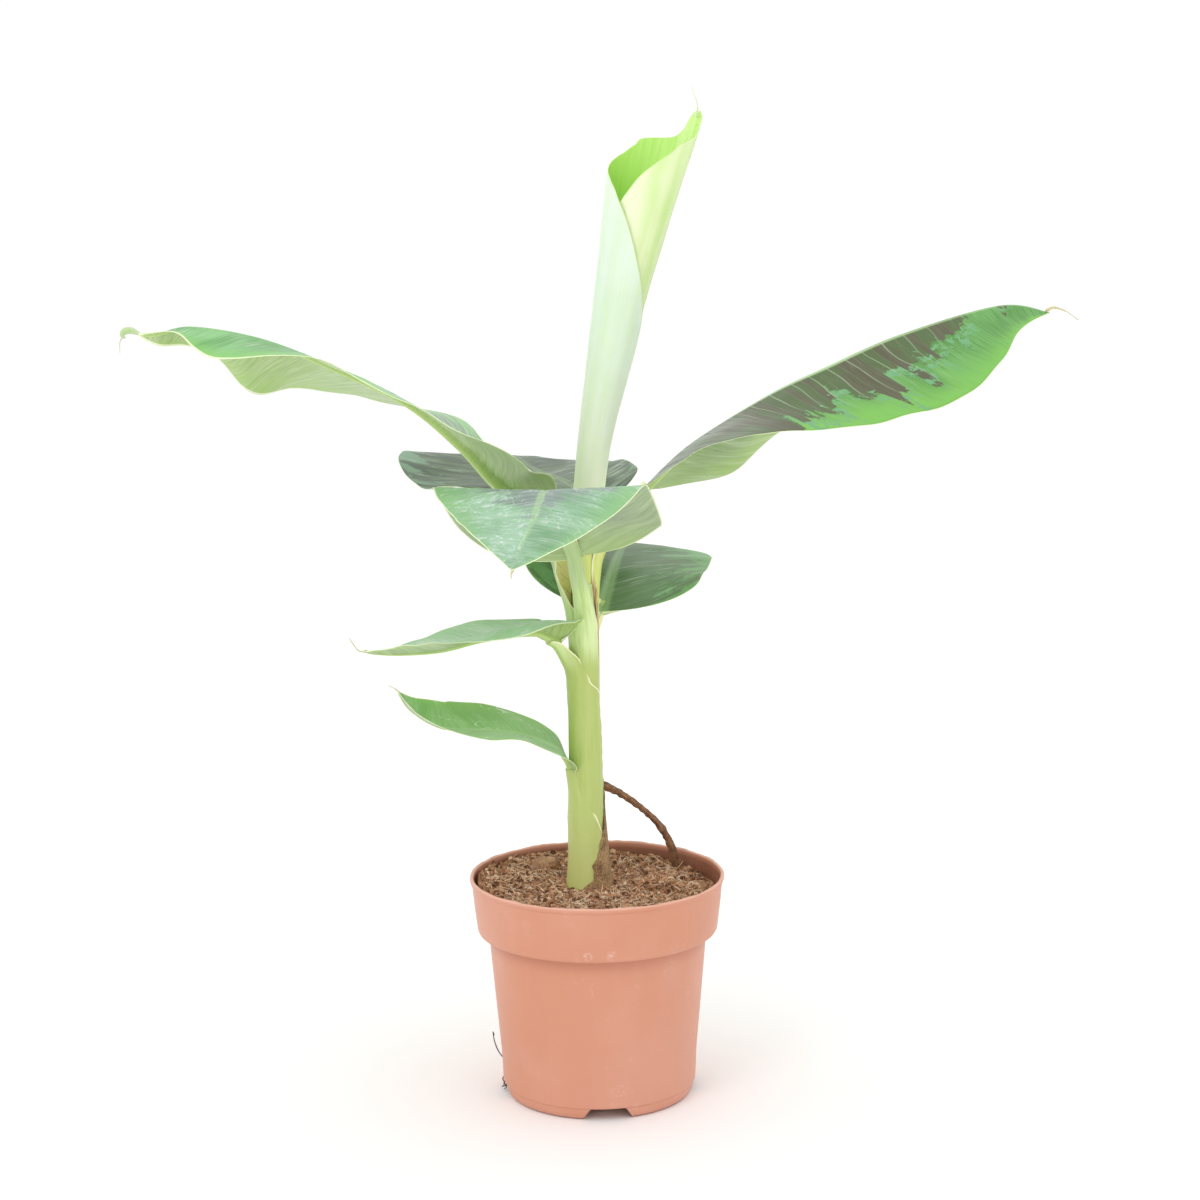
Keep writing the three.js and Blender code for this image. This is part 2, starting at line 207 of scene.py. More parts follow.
class Wiring:                               # short words for wiring up one material's nodes
    def __init__(self, name, roughness=0.5, specular=0.5):
        self.material = bpy.data.materials.new(name)
        self.material.use_nodes = True
        self.tree = self.material.node_tree
        self.surface = self.tree.nodes["Principled BSDF"]
        self.surface.inputs["Roughness"].default_value = roughness
        self.surface.inputs["Specular IOR Level"].default_value = specular

    def node(self, kind, inputs=(), **settings):
        made = self.tree.nodes.new("ShaderNode" + kind)
        for key, value in settings.items():
            setattr(made, key, value)
        for key, value in dict(inputs).items():
            self.put(made.inputs[key], value)
        return made

    def put(self, socket, value):
        if isinstance(value, bpy.types.NodeSocket):
            self.tree.links.new(value, socket)
        else:
            socket.default_value = value

    def read(self, name):                   # a number that each vertex carries
        return self.node("Attribute", attribute_name=name).outputs["Fac"]

    def math(self, operation, a, b=0.0, c=0.0, clamp=False):
        return self.node("Math", {0: a, 1: b, 2: c}, operation=operation, use_clamp=clamp).outputs[0]

    def plus(self, a, b):
        return self.math("ADD", a, b)

    def minus(self, a, b):
        return self.math("SUBTRACT", a, b)

    def times(self, a, b, clamp=False):
        return self.math("MULTIPLY", a, b, clamp=clamp)

    def over(self, a, b):
        return self.math("DIVIDE", a, b)

    def step(self, value, low, high, first=0.0, last=1.0):   # smooth ramp of a number
        made = self.node("MapRange", {"Value": value, "From Min": low, "From Max": high,
                                      "To Min": first, "To Max": last}, interpolation_type="SMOOTHSTEP")
        return made.outputs["Result"]

    def mix(self, factor, a, b):
        made = self.node("Mix", data_type="RGBA")
        self.put(made.inputs[0], factor)
        self.put(made.inputs[6], a)
        self.put(made.inputs[7], b)
        return made.outputs[2]

    def place(self, x=0.0, y=0.0, z=0.0):
        return self.node("CombineXYZ", {"X": x, "Y": y, "Z": z}).outputs[0]

    def noise(self, vector, scale=1.0, detail=3.0, roughness=0.5):
        return self.node("TexNoise", {"Vector": vector, "Scale": scale, "Detail": detail,
                                      "Roughness": roughness}).outputs["Fac"]

    def where(self):
        return self.node("TexCoord").outputs["Object"]

    def bump(self, height, distance, strength=1.0):
        made = self.node("Bump", {"Height": height, "Distance": distance, "Strength": strength})
        self.put(self.surface.inputs["Normal"], made.outputs["Normal"])

    def finish(self, base, roughness=None):
        self.put(self.surface.inputs["Base Color"], base)
        if roughness is not None:
            self.put(self.surface.inputs["Roughness"], roughness)
        return self.material


# Every leaf is a midrib curve with two sides. width, lift and curl are read from base to tip:
# half width, angle of the blade at the midrib, and the further bend out to the margin.
leafShapes = {
    "rightLeaf": dict(
        node="right_leaf", seed=11,
        spine=[[41, 9, 507], [79, 7, 542], [141, 3, 581], [190, -4, 605], [247, -11, 630], [326, -12, 652],
               [366, -13, 646]],
        left=dict(width=[82, 77, 83, 83, 81], lift=[-20, -38, -32, -30, -24, -21, -4], curl=[4, 8, 4, -2]),
        right=dict(width=[22, 76, 79, 86, 86], lift=[-4, -2, -16, -37, -44, -42, -31], curl=[0]),
        base=0.10, tip=0.34, blunt=2, rib=6, ribWidth=5.4,
        tail=[[363, -13, 647], [369, -13, 650], [379, -13, 647], [389, -13, 640]],
        look=dict(green=(84, 138, 68), light=(112, 170, 94), far=(124, 188, 84), dark=(88, 88, 66),
                  maroon=1.0, reach=0.62, ends=0.60, islands=1.0, sheenStreaks=0.1, dust=0.15, veins=0.5,
                  sheen=0.8, veinGap=8.5, fill=0.8, rim=0.7)),
    "leftLeaf": dict(
        node="left_leaf", seed=12,
        spine=[[-38, 8, 489], [-74, 4, 511], [-104, -1, 544], [-147, -3, 580], [-207, -7, 610],
               [-262, -10, 633], [-318, -8, 643], [-347, -12, 637], [-363, -10, 638]],
        left=dict(width=[75, 80, 84, 83, 90, 45], lift=[37, 24, 14, 7, 5, 4, -8, -12, 42],
                  curl=[-13, -5, -1, -16]),
        right=dict(width=[46, 74, 81, 80, 88, 64], lift=[32, 19, 9, -8, -18, -30, -48, -34, -60],
                   curl=[-6, 0, 5, 4]),
        base=0.08, tip=0.40, blunt=1.6, rib=7.5, ribWidth=6.4,
        tail=None,
        look=dict(green=(92, 156, 80), light=(136, 194, 126), far=(128, 194, 96), dark=(108, 116, 98),
                  below=(154, 184, 114), belowLight=(184, 208, 148), maroon=0.6, reach=0.42, ends=0.30,
                  islands=0.1, sheenStreaks=0.8, dust=0.6, veins=0.12, sheen=0.9, veinGap=9, glare=0.64,
                  rim=3.0)),
    "backLeaf": dict(
        node="back_leaf", seed=13,
        spine=[[-1, 45, 492], [-21, 79, 503], [-48, 145, 506], [-72, 215, 511], [-88, 285, 488]],
        left=dict(width=[107, 114, 113], lift=[6, -2, 4, 7], curl=[0]),
        right=dict(width=[66, 79, 86], lift=[3, 3.5, -8.5, -9], curl=[0, 4, 4, 2]),
        base=0.22, tip=0.50, blunt=2.2, rib=6, ribWidth=4.4, tail=None,
        look=dict(green=(84, 114, 88), light=(124, 152, 126), far=(118, 152, 122), dark=(44, 56, 42),
                  maroon=0.75, reach=0.86, ends=0.8, sheenStreaks=1.0, dust=0.3, veins=0.0, sheen=0.1,
                  veinGap=8, midrib=0.25, rim=0.6)),
    "frontLeaf": dict(
        node="front_leaf", seed=14,
        spine=[[-14, -34, 457], [-26, -46, 489], [-36, -85, 518], [-46, -137, 500], [-60, -212, 475]],
        left=dict(width=[62, 81, 80, 79, 76, 80, 86], lift=[2, 0, 2.5, 5, 5, 6, 8], curl=[0], lobe=21),
        right=dict(width=[34, 80, 91, 86, 82, 90, 96], lift=[-4, -3, -1, 3, 9, 15, 20],
                   curl=[0, 0, 0, 2, 2, 6, 9], lobe=7),
        base=0.20, tip=0.62, blunt=1.9, rib=6, ribWidth=4.6, calm=0.4, heading=262,
        tail=[[-59, -209, 475.5], [-60, -213, 473], [-60, -214, 469.5]],
        look=dict(green=(110, 156, 112), light=(158, 196, 164), far=(138, 188, 126), dark=(118, 126, 128),
                  below=(150, 168, 138), belowLight=(180, 196, 170), maroon=0.85, reach=0.50, ends=0.40,
                  sheenStreaks=0.7, dust=1.75, veins=0.1, veinGap=8, soft=True, lime=0.2, midrib=0.6,
                  scribble=0.4)),
    "lowBackLeaf": dict(
        node="low_back_leaf", seed=15,
        spine=[[6, 16, 404], [16, 58, 430], [23, 118, 437], [30, 180, 436], [36, 235, 418]],
        left=dict(width=[71, 79, 82], lift=[13, 5, -6], curl=[6, 3, 0, -2]),
        right=dict(width=[74, 79, 78], lift=[2, 1, -4], curl=[0, -12, -15, -12]),
        base=0.18, tip=0.44, blunt=2.6, rib=5, ribWidth=5.2, tail=None,
        look=dict(green=(84, 132, 72), light=(120, 168, 116), far=(118, 170, 104), dark=(84, 98, 76),
                  maroon=0.6, reach=0.56, ends=0.62, sheenStreaks=0.6, dust=0.4, veins=0.12, veinGap=8,
                  midrib=0.55, rim=0.6)),
    "midLeftLeaf": dict(
        node="mid_left_leaf", seed=16,
        spine=[[-28, -9.5, 381], [-39, -15, 388.5], [-52, -20, 393], [-89, -25, 389], [-124, -29, 381],
               [-160, -32, 379], [-187, -33, 381]],
        left=dict(width=[32, 42, 49, 46, 44, 43], lift=[78, 56, 36, 27, 30, 33],
                  curl=[-36, -88, -54, -16, -8, -10], lobe=8),
        right=dict(width=[30, 46, 54, 50, 48, 46], lift=[20, 6, 6, 9, 7, 8], curl=[-10, 0, 0, -4], lobe=20),
        base=0.05, tip=0.50, blunt=1.7, rib=3.5, ribWidth=3.2, calm=0.5, tipWidth=5, fork=9,
        tail=[[-183, -33, 382.5], [-190, -33, 383], [-197, -33, 393]],
        look=dict(green=(156, 198, 154), light=(200, 226, 202), far=(166, 210, 160), below=(146, 172, 112),
                  belowLight=(172, 198, 142), sheenStreaks=1.0, dust=1.7, veins=0.1, veinGap=7,
                  scribble=0.5)),
    "lowLeftLeaf": dict(
        node="low_left_leaf", seed=17,
        spine=[[-19, -6, 274], [-29, -9.5, 293], [-59, -11, 307], [-92, -15, 312], [-125, -21, 316],
               [-150, -19, 330], [-161, -19, 347]],
        left=dict(width=[18, 37, 51, 48, 41], lift=[-4, -2, 4, 5, 19, 30], curl=[0, 8, -2, -1, -18]),
        right=dict(width=[30, 40, 46, 50, 54], lift=[18, 10, 15, 20, 22, 22], curl=[-16, -5, -1, 5, 12]),
        base=0.14, tip=0.60, blunt=2.1, rib=3.5, ribWidth=3.0, calm=0.3,
        tail=[[-158, -19, 344], [-162, -19, 348], [-168, -19, 351]],
        look=dict(green=(132, 184, 108), light=(164, 208, 142), far=(154, 208, 118), below=(150, 170, 136),
                  belowLight=(178, 196, 162), sheenStreaks=0.15, dust=0.6, veins=0.08, veinGap=7,
                  scribble=0.9, lime=0.3)),
}

# What a leaf has unless its own look says otherwise: colours as seen on a screen, shares from 0 to 1.
commonLook = dict(
    dark=(94, 84, 74), below=(126, 152, 96), belowLight=(150, 176, 122),
    maroon=0.0, reach=0.3, ends=0.5, fill=0.3,   # the dark patches: how strong, how far out and along
    islands=0.0,                            # green islands in the patches
    sheen=0.0, glare=0.36,                  # painted silver sheen near the stalk, and how far along it gets
    lime=0.85,                              # yellow-green at the underside's margin
    midrib=1.0, rim=1.2,                    # the midrib's paleness, and the pale margin's width in mm
    soft=False, scribble=0.0,
)

bladeDetail = dict(
    steps=190, ribColumns=9, bladeColumns=27,
    thickness=0.55,                         # mm
    veinSweep=0.42, veinCurve=0.22,         # how far the side veins lean towards the tip
    veinRelief=0.16, ruffle=0.9, ruffleLength=46, unevenness=0.6,
    groove=0.9,                             # depth of the midrib's channel on the upper face
)


def outline(leaf, t):
    foot = np.sqrt(np.clip(1 - (1 - np.clip(t / leaf["base"], 0, 1)) ** 2, 0, 1))
    return foot * (1 - np.clip((t - 1 + leaf["tip"]) / leaf["tip"], 0, 1) ** leaf["blunt"])


def bladeColumns(ribEdge, width):           # distances from the midrib, close together at rib and margin
    d = bladeDetail
    near = ribEdge[:, None] * np.arange(d["ribColumns"] + 1) / d["ribColumns"]
    u = np.arange(1, d["bladeColumns"] + 1) / d["bladeColumns"]
    u = u + 0.12 * np.sin(math.tau * u) / math.tau
    return np.concatenate([near, ribEdge[:, None] + (width - ribEdge)[:, None] * u], 1)


def sideways(leaf, direction, t):           # across the blade, straightened by a heading near the stalk
    side = unit(np.cross(direction, [0, 0, 1]))
    if "heading" in leaf:
        turn = math.radians(leaf["heading"])
        side = side + (np.array([math.sin(turn), -math.cos(turn), 0.0]) - side) * smooth(0.4, 0.1, t)[:, None]
        side = unit(side - direction * (side * direction).sum(-1, keepdims=True))
    return side


def makeBlade(name, leaf, material):
    d = bladeDetail
    t, at, direction, length = stations(leaf["spine"], d["steps"])
    side = sideways(leaf, direction, t)
    up = np.cross(side, direction)
    calm = leaf.get("calm", 1)
    ribHalf = leaf["ribWidth"] * (1 - 0.86 * t**0.8) + 0.25
    ribDepth = leaf["rib"] * (1 - 0.9 * t**0.8)
    wings = []
    for sign, half in ((-1, leaf["left"]), (1, leaf["right"])):
        least = 0.8 + leaf.get("tipWidth", 0) * smooth(0.8, 0.9, t)
        width = np.maximum(along(half["width"], t) * outline(leaf, t), least)
        ribEdge = np.minimum(1.3 * ribHalf, 0.5 * width)
        s = bladeColumns(ribEdge, width)
        u = s / width[:, None]
        bend = np.radians(along(half["lift"], t)[:, None]
                          + along(half["curl"], t)[:, None] * 0.5 * (u[:, 1:] + u[:, :-1]))
        step = np.diff(s, axis=1)
        zero = np.zeros((len(t), 1))
        out = np.concatenate([zero, np.cumsum(np.cos(bend) * step, 1)], 1)
        rise = np.concatenate([zero, np.cumsum(np.sin(bend) * step, 1)], 1)
        vein = (t * length)[:, None] - d["veinSweep"] * s - d["veinCurve"] * s * u**2
        edge = width[:, None] - s
        wave = ripple(vein / d["ruffleLength"], u * 0.3, leaf["seed"] + sign)
        free = smooth(0, 0.12, t)[:, None] * smooth(1, 0.93, t)[:, None]
        rise = rise + free * u**3 * d["ruffle"] * calm * wave
        swell = ripple((t * length)[:, None] / 60, s / 60 * sign, leaf["seed"] + 40)
        rise = rise + free * smooth(0.05, 0.3, u) * d["unevenness"] * calm * swell
        rise = rise + (smooth(0, 1, (s - ribEdge[:, None]) / 6) * smooth(0, 4, edge) * d["veinRelief"]
                       * np.cos(math.tau * vein / leaf["look"]["veinGap"]) * (0.6 + 0.4 * wave))
        reach = np.clip(t / 0.35, 0, 1)
        back = half.get("lobe", 0) * 1.6 * (1 - reach) * np.sin(math.pi * reach) ** 0.8
        points = (at[:, None] + sign * out[..., None] * side[:, None] + rise[..., None] * up[:, None]
                  - (back[:, None] * u**1.5)[..., None] * direction[:, None])
        fork = leaf.get("fork", 0) * smooth(0.86, 1, t)
        points = points + (fork[:, None] * (u - 0.5))[..., None] * direction[:, None]
        wings.append(dict(points=points, s=s, u=u, vein=vein, edge=edge))
    middle, s, u, vein, edge = (np.concatenate([wings[0][key][:, :0:-1], wings[1][key]], 1)
                                for key in ("points", "s", "u", "vein", "edge"))
    normal = gridNormals(middle)
    share = s / ribHalf[:, None]
    body = np.clip(edge / 0.8, 0.25, 1) * d["thickness"] / 2
    groove = d["groove"] * (ribDepth / 6)[:, None] * np.exp(-(share / 0.55) ** 2)
    keel = ribDepth[:, None] * np.sqrt(np.clip(1 - (share / 1.15) ** 2, 0, 1))
    keel = keel * smooth(0, 0.03, 1.001 - t)[:, None]
    upper = middle + (body - groove)[..., None] * normal
    lower = middle - (body + keel)[..., None] * normal
    wing = np.where(np.arange(s.shape[1]) < s.shape[1] // 2, -1.0, 1.0)
    newShell(name + "Blade", upper, lower, material, "leaf_blade", [leaf["node"]], "under",
             dict(vein=vein, reach=u, fromRib=s, ribShare=share, fromEdge=edge, lengthwise=t[:, None],
                  wing=wing))


def patchColour(w, look, brown, fine, streak, stripDraw, lengthwise, broad):   # the maroon blotches, with a painted grey sheen near the stalk
    dark = w.mix(w.step(fine, 0.3, 0.75, 0.0, 0.6), brown, colour(108, 112, 86))
    leafy = w.step(w.plus(streak(10, 34, 4.0, 3.0, 0.6), w.times(stripDraw, 0.3)), 0.62, 0.78)
    dark = w.mix(leafy, dark, colour(86, 106, 66))
    # painted grey sheen on the patches near the stalk
    paintedGreySheen = w.times(w.step(lengthwise, 0.45, 0.08), w.step(broad, 0.35, 0.6, 0.2, 0.7))
    return w.mix(w.times(paintedGreySheen, look["sheen"]), dark, colour(128, 124, 122))


def leafMaterial(name, look, seed):
    look = {**commonLook, **look}
    w = Wiring(name + "Skin", roughness=0.42, specular=0.32)
    vein, reach, fromRib = w.read("vein"), w.read("reach"), w.read("fromRib")
    ribShare, fromEdge = w.read("ribShare"), w.read("fromEdge")
    lengthwise, under = w.read("lengthwise"), w.read("under")
    own = w.math("MULTIPLY_ADD", w.read("wing"), 17.3, seed * 3.1)
    gap = look["veinGap"]

    # noise drawn out along the side veins
    def streak(across, outward, detail=3.0, shift=0.0, roughness=0.55):
        spot = w.place(w.over(vein, across), w.over(fromRib, outward), w.plus(own, shift))
        return w.noise(spot, 1.0, detail, roughness)

    drift = w.times(w.minus(streak(45, 70, 1.0, 77.0), 0.5), 18.0)
    veinPlace = w.plus(w.plus(vein, 400), drift)   # side veins lie a little unevenly

    def strip(width):                       # a draw for each strip between side veins, and where in it
        place = w.over(veinPlace, width)
        draw = w.node("TexWhiteNoise", {"W": w.plus(w.math("FLOOR", place), own)},
                      noise_dimensions="1D").outputs["Value"]
        return draw, w.math("ABSOLUTE", w.minus(w.math("FRACT", place), 0.5))

    stripDraw, stripEdge = strip(gap)
    _, wideEdge = strip(2 * gap)
    mainVein = w.step(wideEdge, 0.5 - 0.5 / gap, 0.5)
    sideVein = w.step(stripEdge, 0.5 - 0.8 / gap, 0.5)
    blotch = streak(14, 30, 4.0, 0.0, 0.62)
    fine = streak(2.0, 28, 4.0, 5.0, 0.7)
    broad = streak(40, 60, 2.0, 9.0)
    hair = streak(1.3, 60, 3.0, 15.0, 0.6)
    bits = streak(9, 8, 5.0, 24.0, 0.7)

    # upper face
    green = w.mix(w.step(w.plus(w.times(fine, 0.5), w.times(broad, 0.5)), 0.36, 0.62),
                  colour(*look["green"]), colour(*look["light"]))
    outward = w.plus(reach, w.times(w.minus(blotch, 0.5), 0.5))
    green = w.mix(w.step(outward, 0.5, 1.02, 0.0, 0.9), green, colour(*look["far"]))
    push = w.plus(w.times(w.minus(blotch, 0.5), 1.5), w.times(w.minus(stripDraw, 0.5), 0.4))
    push = w.plus(push, w.times(w.minus(bits, 0.5), 0.7))
    front = w.plus(reach, push)             # how far out the dark patches get
    front = w.minus(front, w.step(lengthwise, 0.54, 0.24, 0.0, look["fill"]))
    front = w.plus(front, w.step(lengthwise, look["ends"], look["ends"] + 0.3, 0.0, 0.75))
    island = w.times(w.step(front, look["reach"] + 0.3, look["reach"] + 0.28),
                     w.times(w.step(bits, 0.51, 0.53), look["islands"]))
    upper = w.mix(island, green, colour(112, 168, 118))
    brown = colour(*look["dark"])
    if look["soft"]:                        # only a grey bloom
        dark, edge = w.mix(w.step(fine, 0.3, 0.75, 0.0, 0.6), brown, colour(176, 190, 184)), 0.3
    else:
        dark, edge = patchColour(w, look, brown, fine, streak, stripDraw, lengthwise, broad), 0.03
    darkShare = w.times(w.step(front, look["reach"] + edge, look["reach"] - edge), look["maroon"])
    upper = w.mix(darkShare, upper, dark)
    fadeOut = w.times(w.step(reach, 0.85, 0.35, 0.05, 1.0), w.step(lengthwise, 0.8, 0.6, 0.1, 1.0))
    veinShare = w.times(w.times(sideVein, w.step(fine, 0.3, 0.8, 0.05, 0.35)), fadeOut)
    upper = w.mix(w.times(veinShare, min(1.0, look["veins"] * 1.2)), upper, colour(150, 178, 140))
    mainShare = w.times(w.times(mainVein, fadeOut), w.step(fine, 0.2, 0.6, 0.4, 0.9))
    upper = w.mix(w.times(mainShare, look["veins"]), upper, colour(184, 204, 172))
    # painted sheen: silvery streaks along the veins, and painted glare near the stalk
    paintedSheen = w.times(w.step(hair, 0.54, 0.70), look["sheenStreaks"])
    paintedSheen = w.times(paintedSheen, w.step(streak(24, 26, 3.0, 31.0), 0.36, 0.6))
    glare = w.times(w.step(lengthwise, look["glare"], look["glare"] - 0.26),
                    w.step(hair, 0.46, 0.62, 0.1, 0.8))
    paintedSheen = w.math("MAXIMUM", paintedSheen, w.times(glare, look["sheen"]))
    upper = w.mix(paintedSheen, upper, colour(206, 218, 208))
    low = 0.62 - 0.07 * look["dust"]
    dust = w.times(w.step(streak(5, 7, 6.0, 12.0, 0.8), low, low + 0.16), min(1.0, look["dust"]))
    dust = w.times(dust, w.step(broad, 0.42, 0.6))
    upper = w.mix(w.times(dust, 0.75), upper, colour(220, 232, 230))
    if look["scribble"]:                    # thin scratches in the bloom
        wander = w.math("ABSOLUTE", w.minus(streak(16, 13, 1.0, 51.0), 0.5))
        scratch = w.times(w.step(wander, 0.012, 0.004), w.step(streak(30, 24, 1.0, 61.0), 0.52, 0.56))
        upper = w.mix(w.times(scratch, look["scribble"]), upper, colour(222, 232, 222))
    ribMask = w.times(w.step(ribShare, 1.6, 0.6),
                      w.step(lengthwise, 1.0, 0.45, 0.3 * look["midrib"], 0.9 * look["midrib"]))
    upper = w.mix(ribMask, upper, colour(178, 212, 156))

    # lower face
    pale = w.mix(w.step(fine, 0.3, 0.7), colour(*look["below"]), colour(*look["belowLight"]))
    pale = w.mix(w.step(w.plus(reach, w.times(w.minus(blotch, 0.5), 0.5)), 0.45, 1.05,
                        0.0, look["lime"]), pale, colour(170, 204, 116))
    pale = w.mix(w.times(w.step(streak(9, 80, 2.0, 40.0), 0.5, 0.68), 0.5), pale, colour(194, 212, 170))
    pale = w.mix(w.times(sideVein, 0.2), pale, colour(116, 144, 88))
    pale = w.mix(w.step(lengthwise, 0.2, 0.02, 0.0, 0.45), pale, colour(168, 198, 96))
    pale = w.mix(w.step(ribShare, 1.35, 0.95, 0.0, 0.8), pale, colour(184, 212, 120))
    pale = w.mix(w.times(w.step(ribShare, 0.6, 0.2), 0.4), pale, colour(216, 232, 166))

    base = w.mix(under, upper, pale)
    base = w.mix(w.step(fromEdge, look["rim"] * 1.1, look["rim"] * 0.65), base, colour(234, 244, 200))
    rough = w.mix(under, w.step(fine, 0.2, 0.8, 0.36, 0.52), colour(160, 160, 160))
    grooves = w.math("SINE", w.times(w.plus(vein, w.times(fine, 1.2)), math.tau / 1.5))
    height = w.plus(w.times(grooves, 0.25), w.times(fine, 1.1))
    w.bump(height, 0.00025, 0.5)
    return w.finish(base, rough)


for name, leaf in leafShapes.items():
    makeBlade(name, leaf, leafMaterial(name, leaf["look"], leaf["seed"]))
    print("blade", name)


# The youngest leaf is still rolled into a cone.
rolledLeaf = dict(
    axis=[[-6.4, 14, 476], [1.4, 14, 543], [14.6, 14, 611], [28.6, 14, 679], [43.5, 14, 747], [59, 14, 815]],
    radius=[10.4, 11.6, 16.4, 22, 28.5, 35],
    # how far each half wraps round from the midrib, in degrees, against the share of the height
    outer=[[0, 335], [0.3, 338], [0.47, 318], [0.55, 291], [0.64, 256], [0.71, 230], [0.757, 208],
           [0.79, 189], [0.806, 176], [0.822, 160], [0.838, 138], [0.86, 112], [0.893, 86], [0.915, 70],
           [0.925, 42], [0.948, 22], [0.973, 16], [0.99, 11], [1, 4]],
    inner=[[0, 230], [0.4, 220], [0.65, 185], [0.757, 157], [0.79, 143], [0.829, 127], [0.862, 108],
           [0.893, 88], [0.917, 74], [0.940, 44], [0.955, 33], [0.985, 24], [1, 6]],
    spacing=2.8, rib=28, thickness=0.6, steps=220, columns=112,
    tail=[[87.5, 27, 803], [88, 22.5, 812], [85, 18, 821], [82, 14, 829.5]],
)


def makeRolledLeaf(material):
    d = rolledLeaf
    t, at, direction, _ = stations(d["axis"], d["steps"])
    east, north = compass(direction)
    start = -np.radians(through(d["inner"], t))
    stop = np.radians(through(d["outer"], t))
    share = np.linspace(0, 1, d["columns"] + 1)
    turn = start[:, None] + (stop - start)[:, None] * share
    angle = turn + math.radians(d["rib"])
    r = along(d["radius"], t)[:, None] + d["spacing"] * turn / math.tau
    r = r + 0.25 * ripple(angle * 2, t[:, None] * 6, 5) * smooth(0.2, 1, t)[:, None]
    outward = rays(angle, east, north)
    middle = at[:, None] + r[..., None] * outward
    half = d["thickness"] / 2 * unit(outward)
    edge = np.minimum(turn - start[:, None], stop[:, None] - turn) * r
    newShell("rolledLeafBlade", middle - half, middle + half, material, "young_leaf", ["rolled_leaf"],
             "under", dict(lengthwise=t[:, None], turn=turn, fromEdge=edge, outerHalf=turn > 0))


def rolledMaterial():
    w = Wiring("rolledLeafSkin", roughness=0.42)
    turn, lengthwise, fromEdge = w.read("turn"), w.read("lengthwise"), w.read("fromEdge")
    under, outerHalf = w.read("under"), w.read("outerHalf")

    def drawn(around, upward, shift, detail=3.0, roughness=0.5):   # noise drawn out along the roll
        spot = w.place(w.times(turn, around), w.times(lengthwise, upward), shift)
        return w.noise(spot, 1.0, detail, roughness)

    lines = drawn(2.2, 1.6, outerHalf, 2.0, 0.4)
    fine = drawn(24.0, 6.0, 4.0)
    cloud = drawn(1.4, 7.0, 9.0)
    soft = w.step(w.plus(w.times(lines, 0.6), w.times(cloud, 0.4)), 0.34, 0.64)
    mint = w.mix(soft, colour(218, 243, 204), colour(230, 250, 226))
    yellow = w.mix(soft, colour(208, 234, 156), colour(232, 246, 196))
    creamy = w.times(w.step(turn, -1.5, -2.6), 0.8)
    yellow = w.mix(creamy, yellow, colour(248, 250, 222))
    greenish = w.step(turn, -1.2, -0.3, 0.0, 0.6)
    yellow = w.mix(greenish, yellow, colour(184, 222, 126))
    outside = w.mix(outerHalf, yellow, mint)
    outside = w.mix(w.step(lengthwise, 0.5, 0.0, 0.0, 0.75), outside, colour(240, 248, 206))
    outside = w.mix(w.times(w.step(fine, 0.5, 0.75), 0.14), outside, colour(190, 224, 160))
    inside = w.mix(w.step(fine, 0.3, 0.7), colour(164, 218, 70), colour(188, 232, 104))
    inside = w.mix(w.times(w.step(lines, 0.5, 0.66), 0.6), inside, colour(226, 246, 180))
    inside = w.mix(w.step(turn, 3.0, 2.2, 0.0, 0.5), inside, colour(206, 240, 150))
    base = w.mix(under, inside, outside)
    base = w.mix(w.step(fromEdge, 1.0, 0.5), base, colour(206, 232, 158))
    w.bump(w.plus(fine, lines), 0.0003, 0.35)
    w.surface.inputs["Subsurface Weight"].default_value = 0.35
    w.surface.inputs["Subsurface Radius"].default_value = (0.7, 1.0, 0.35)
    w.surface.inputs["Subsurface Scale"].default_value = 0.0015
    return w.finish(base)


makeRolledLeaf(rolledMaterial())
print("rolled leaf")

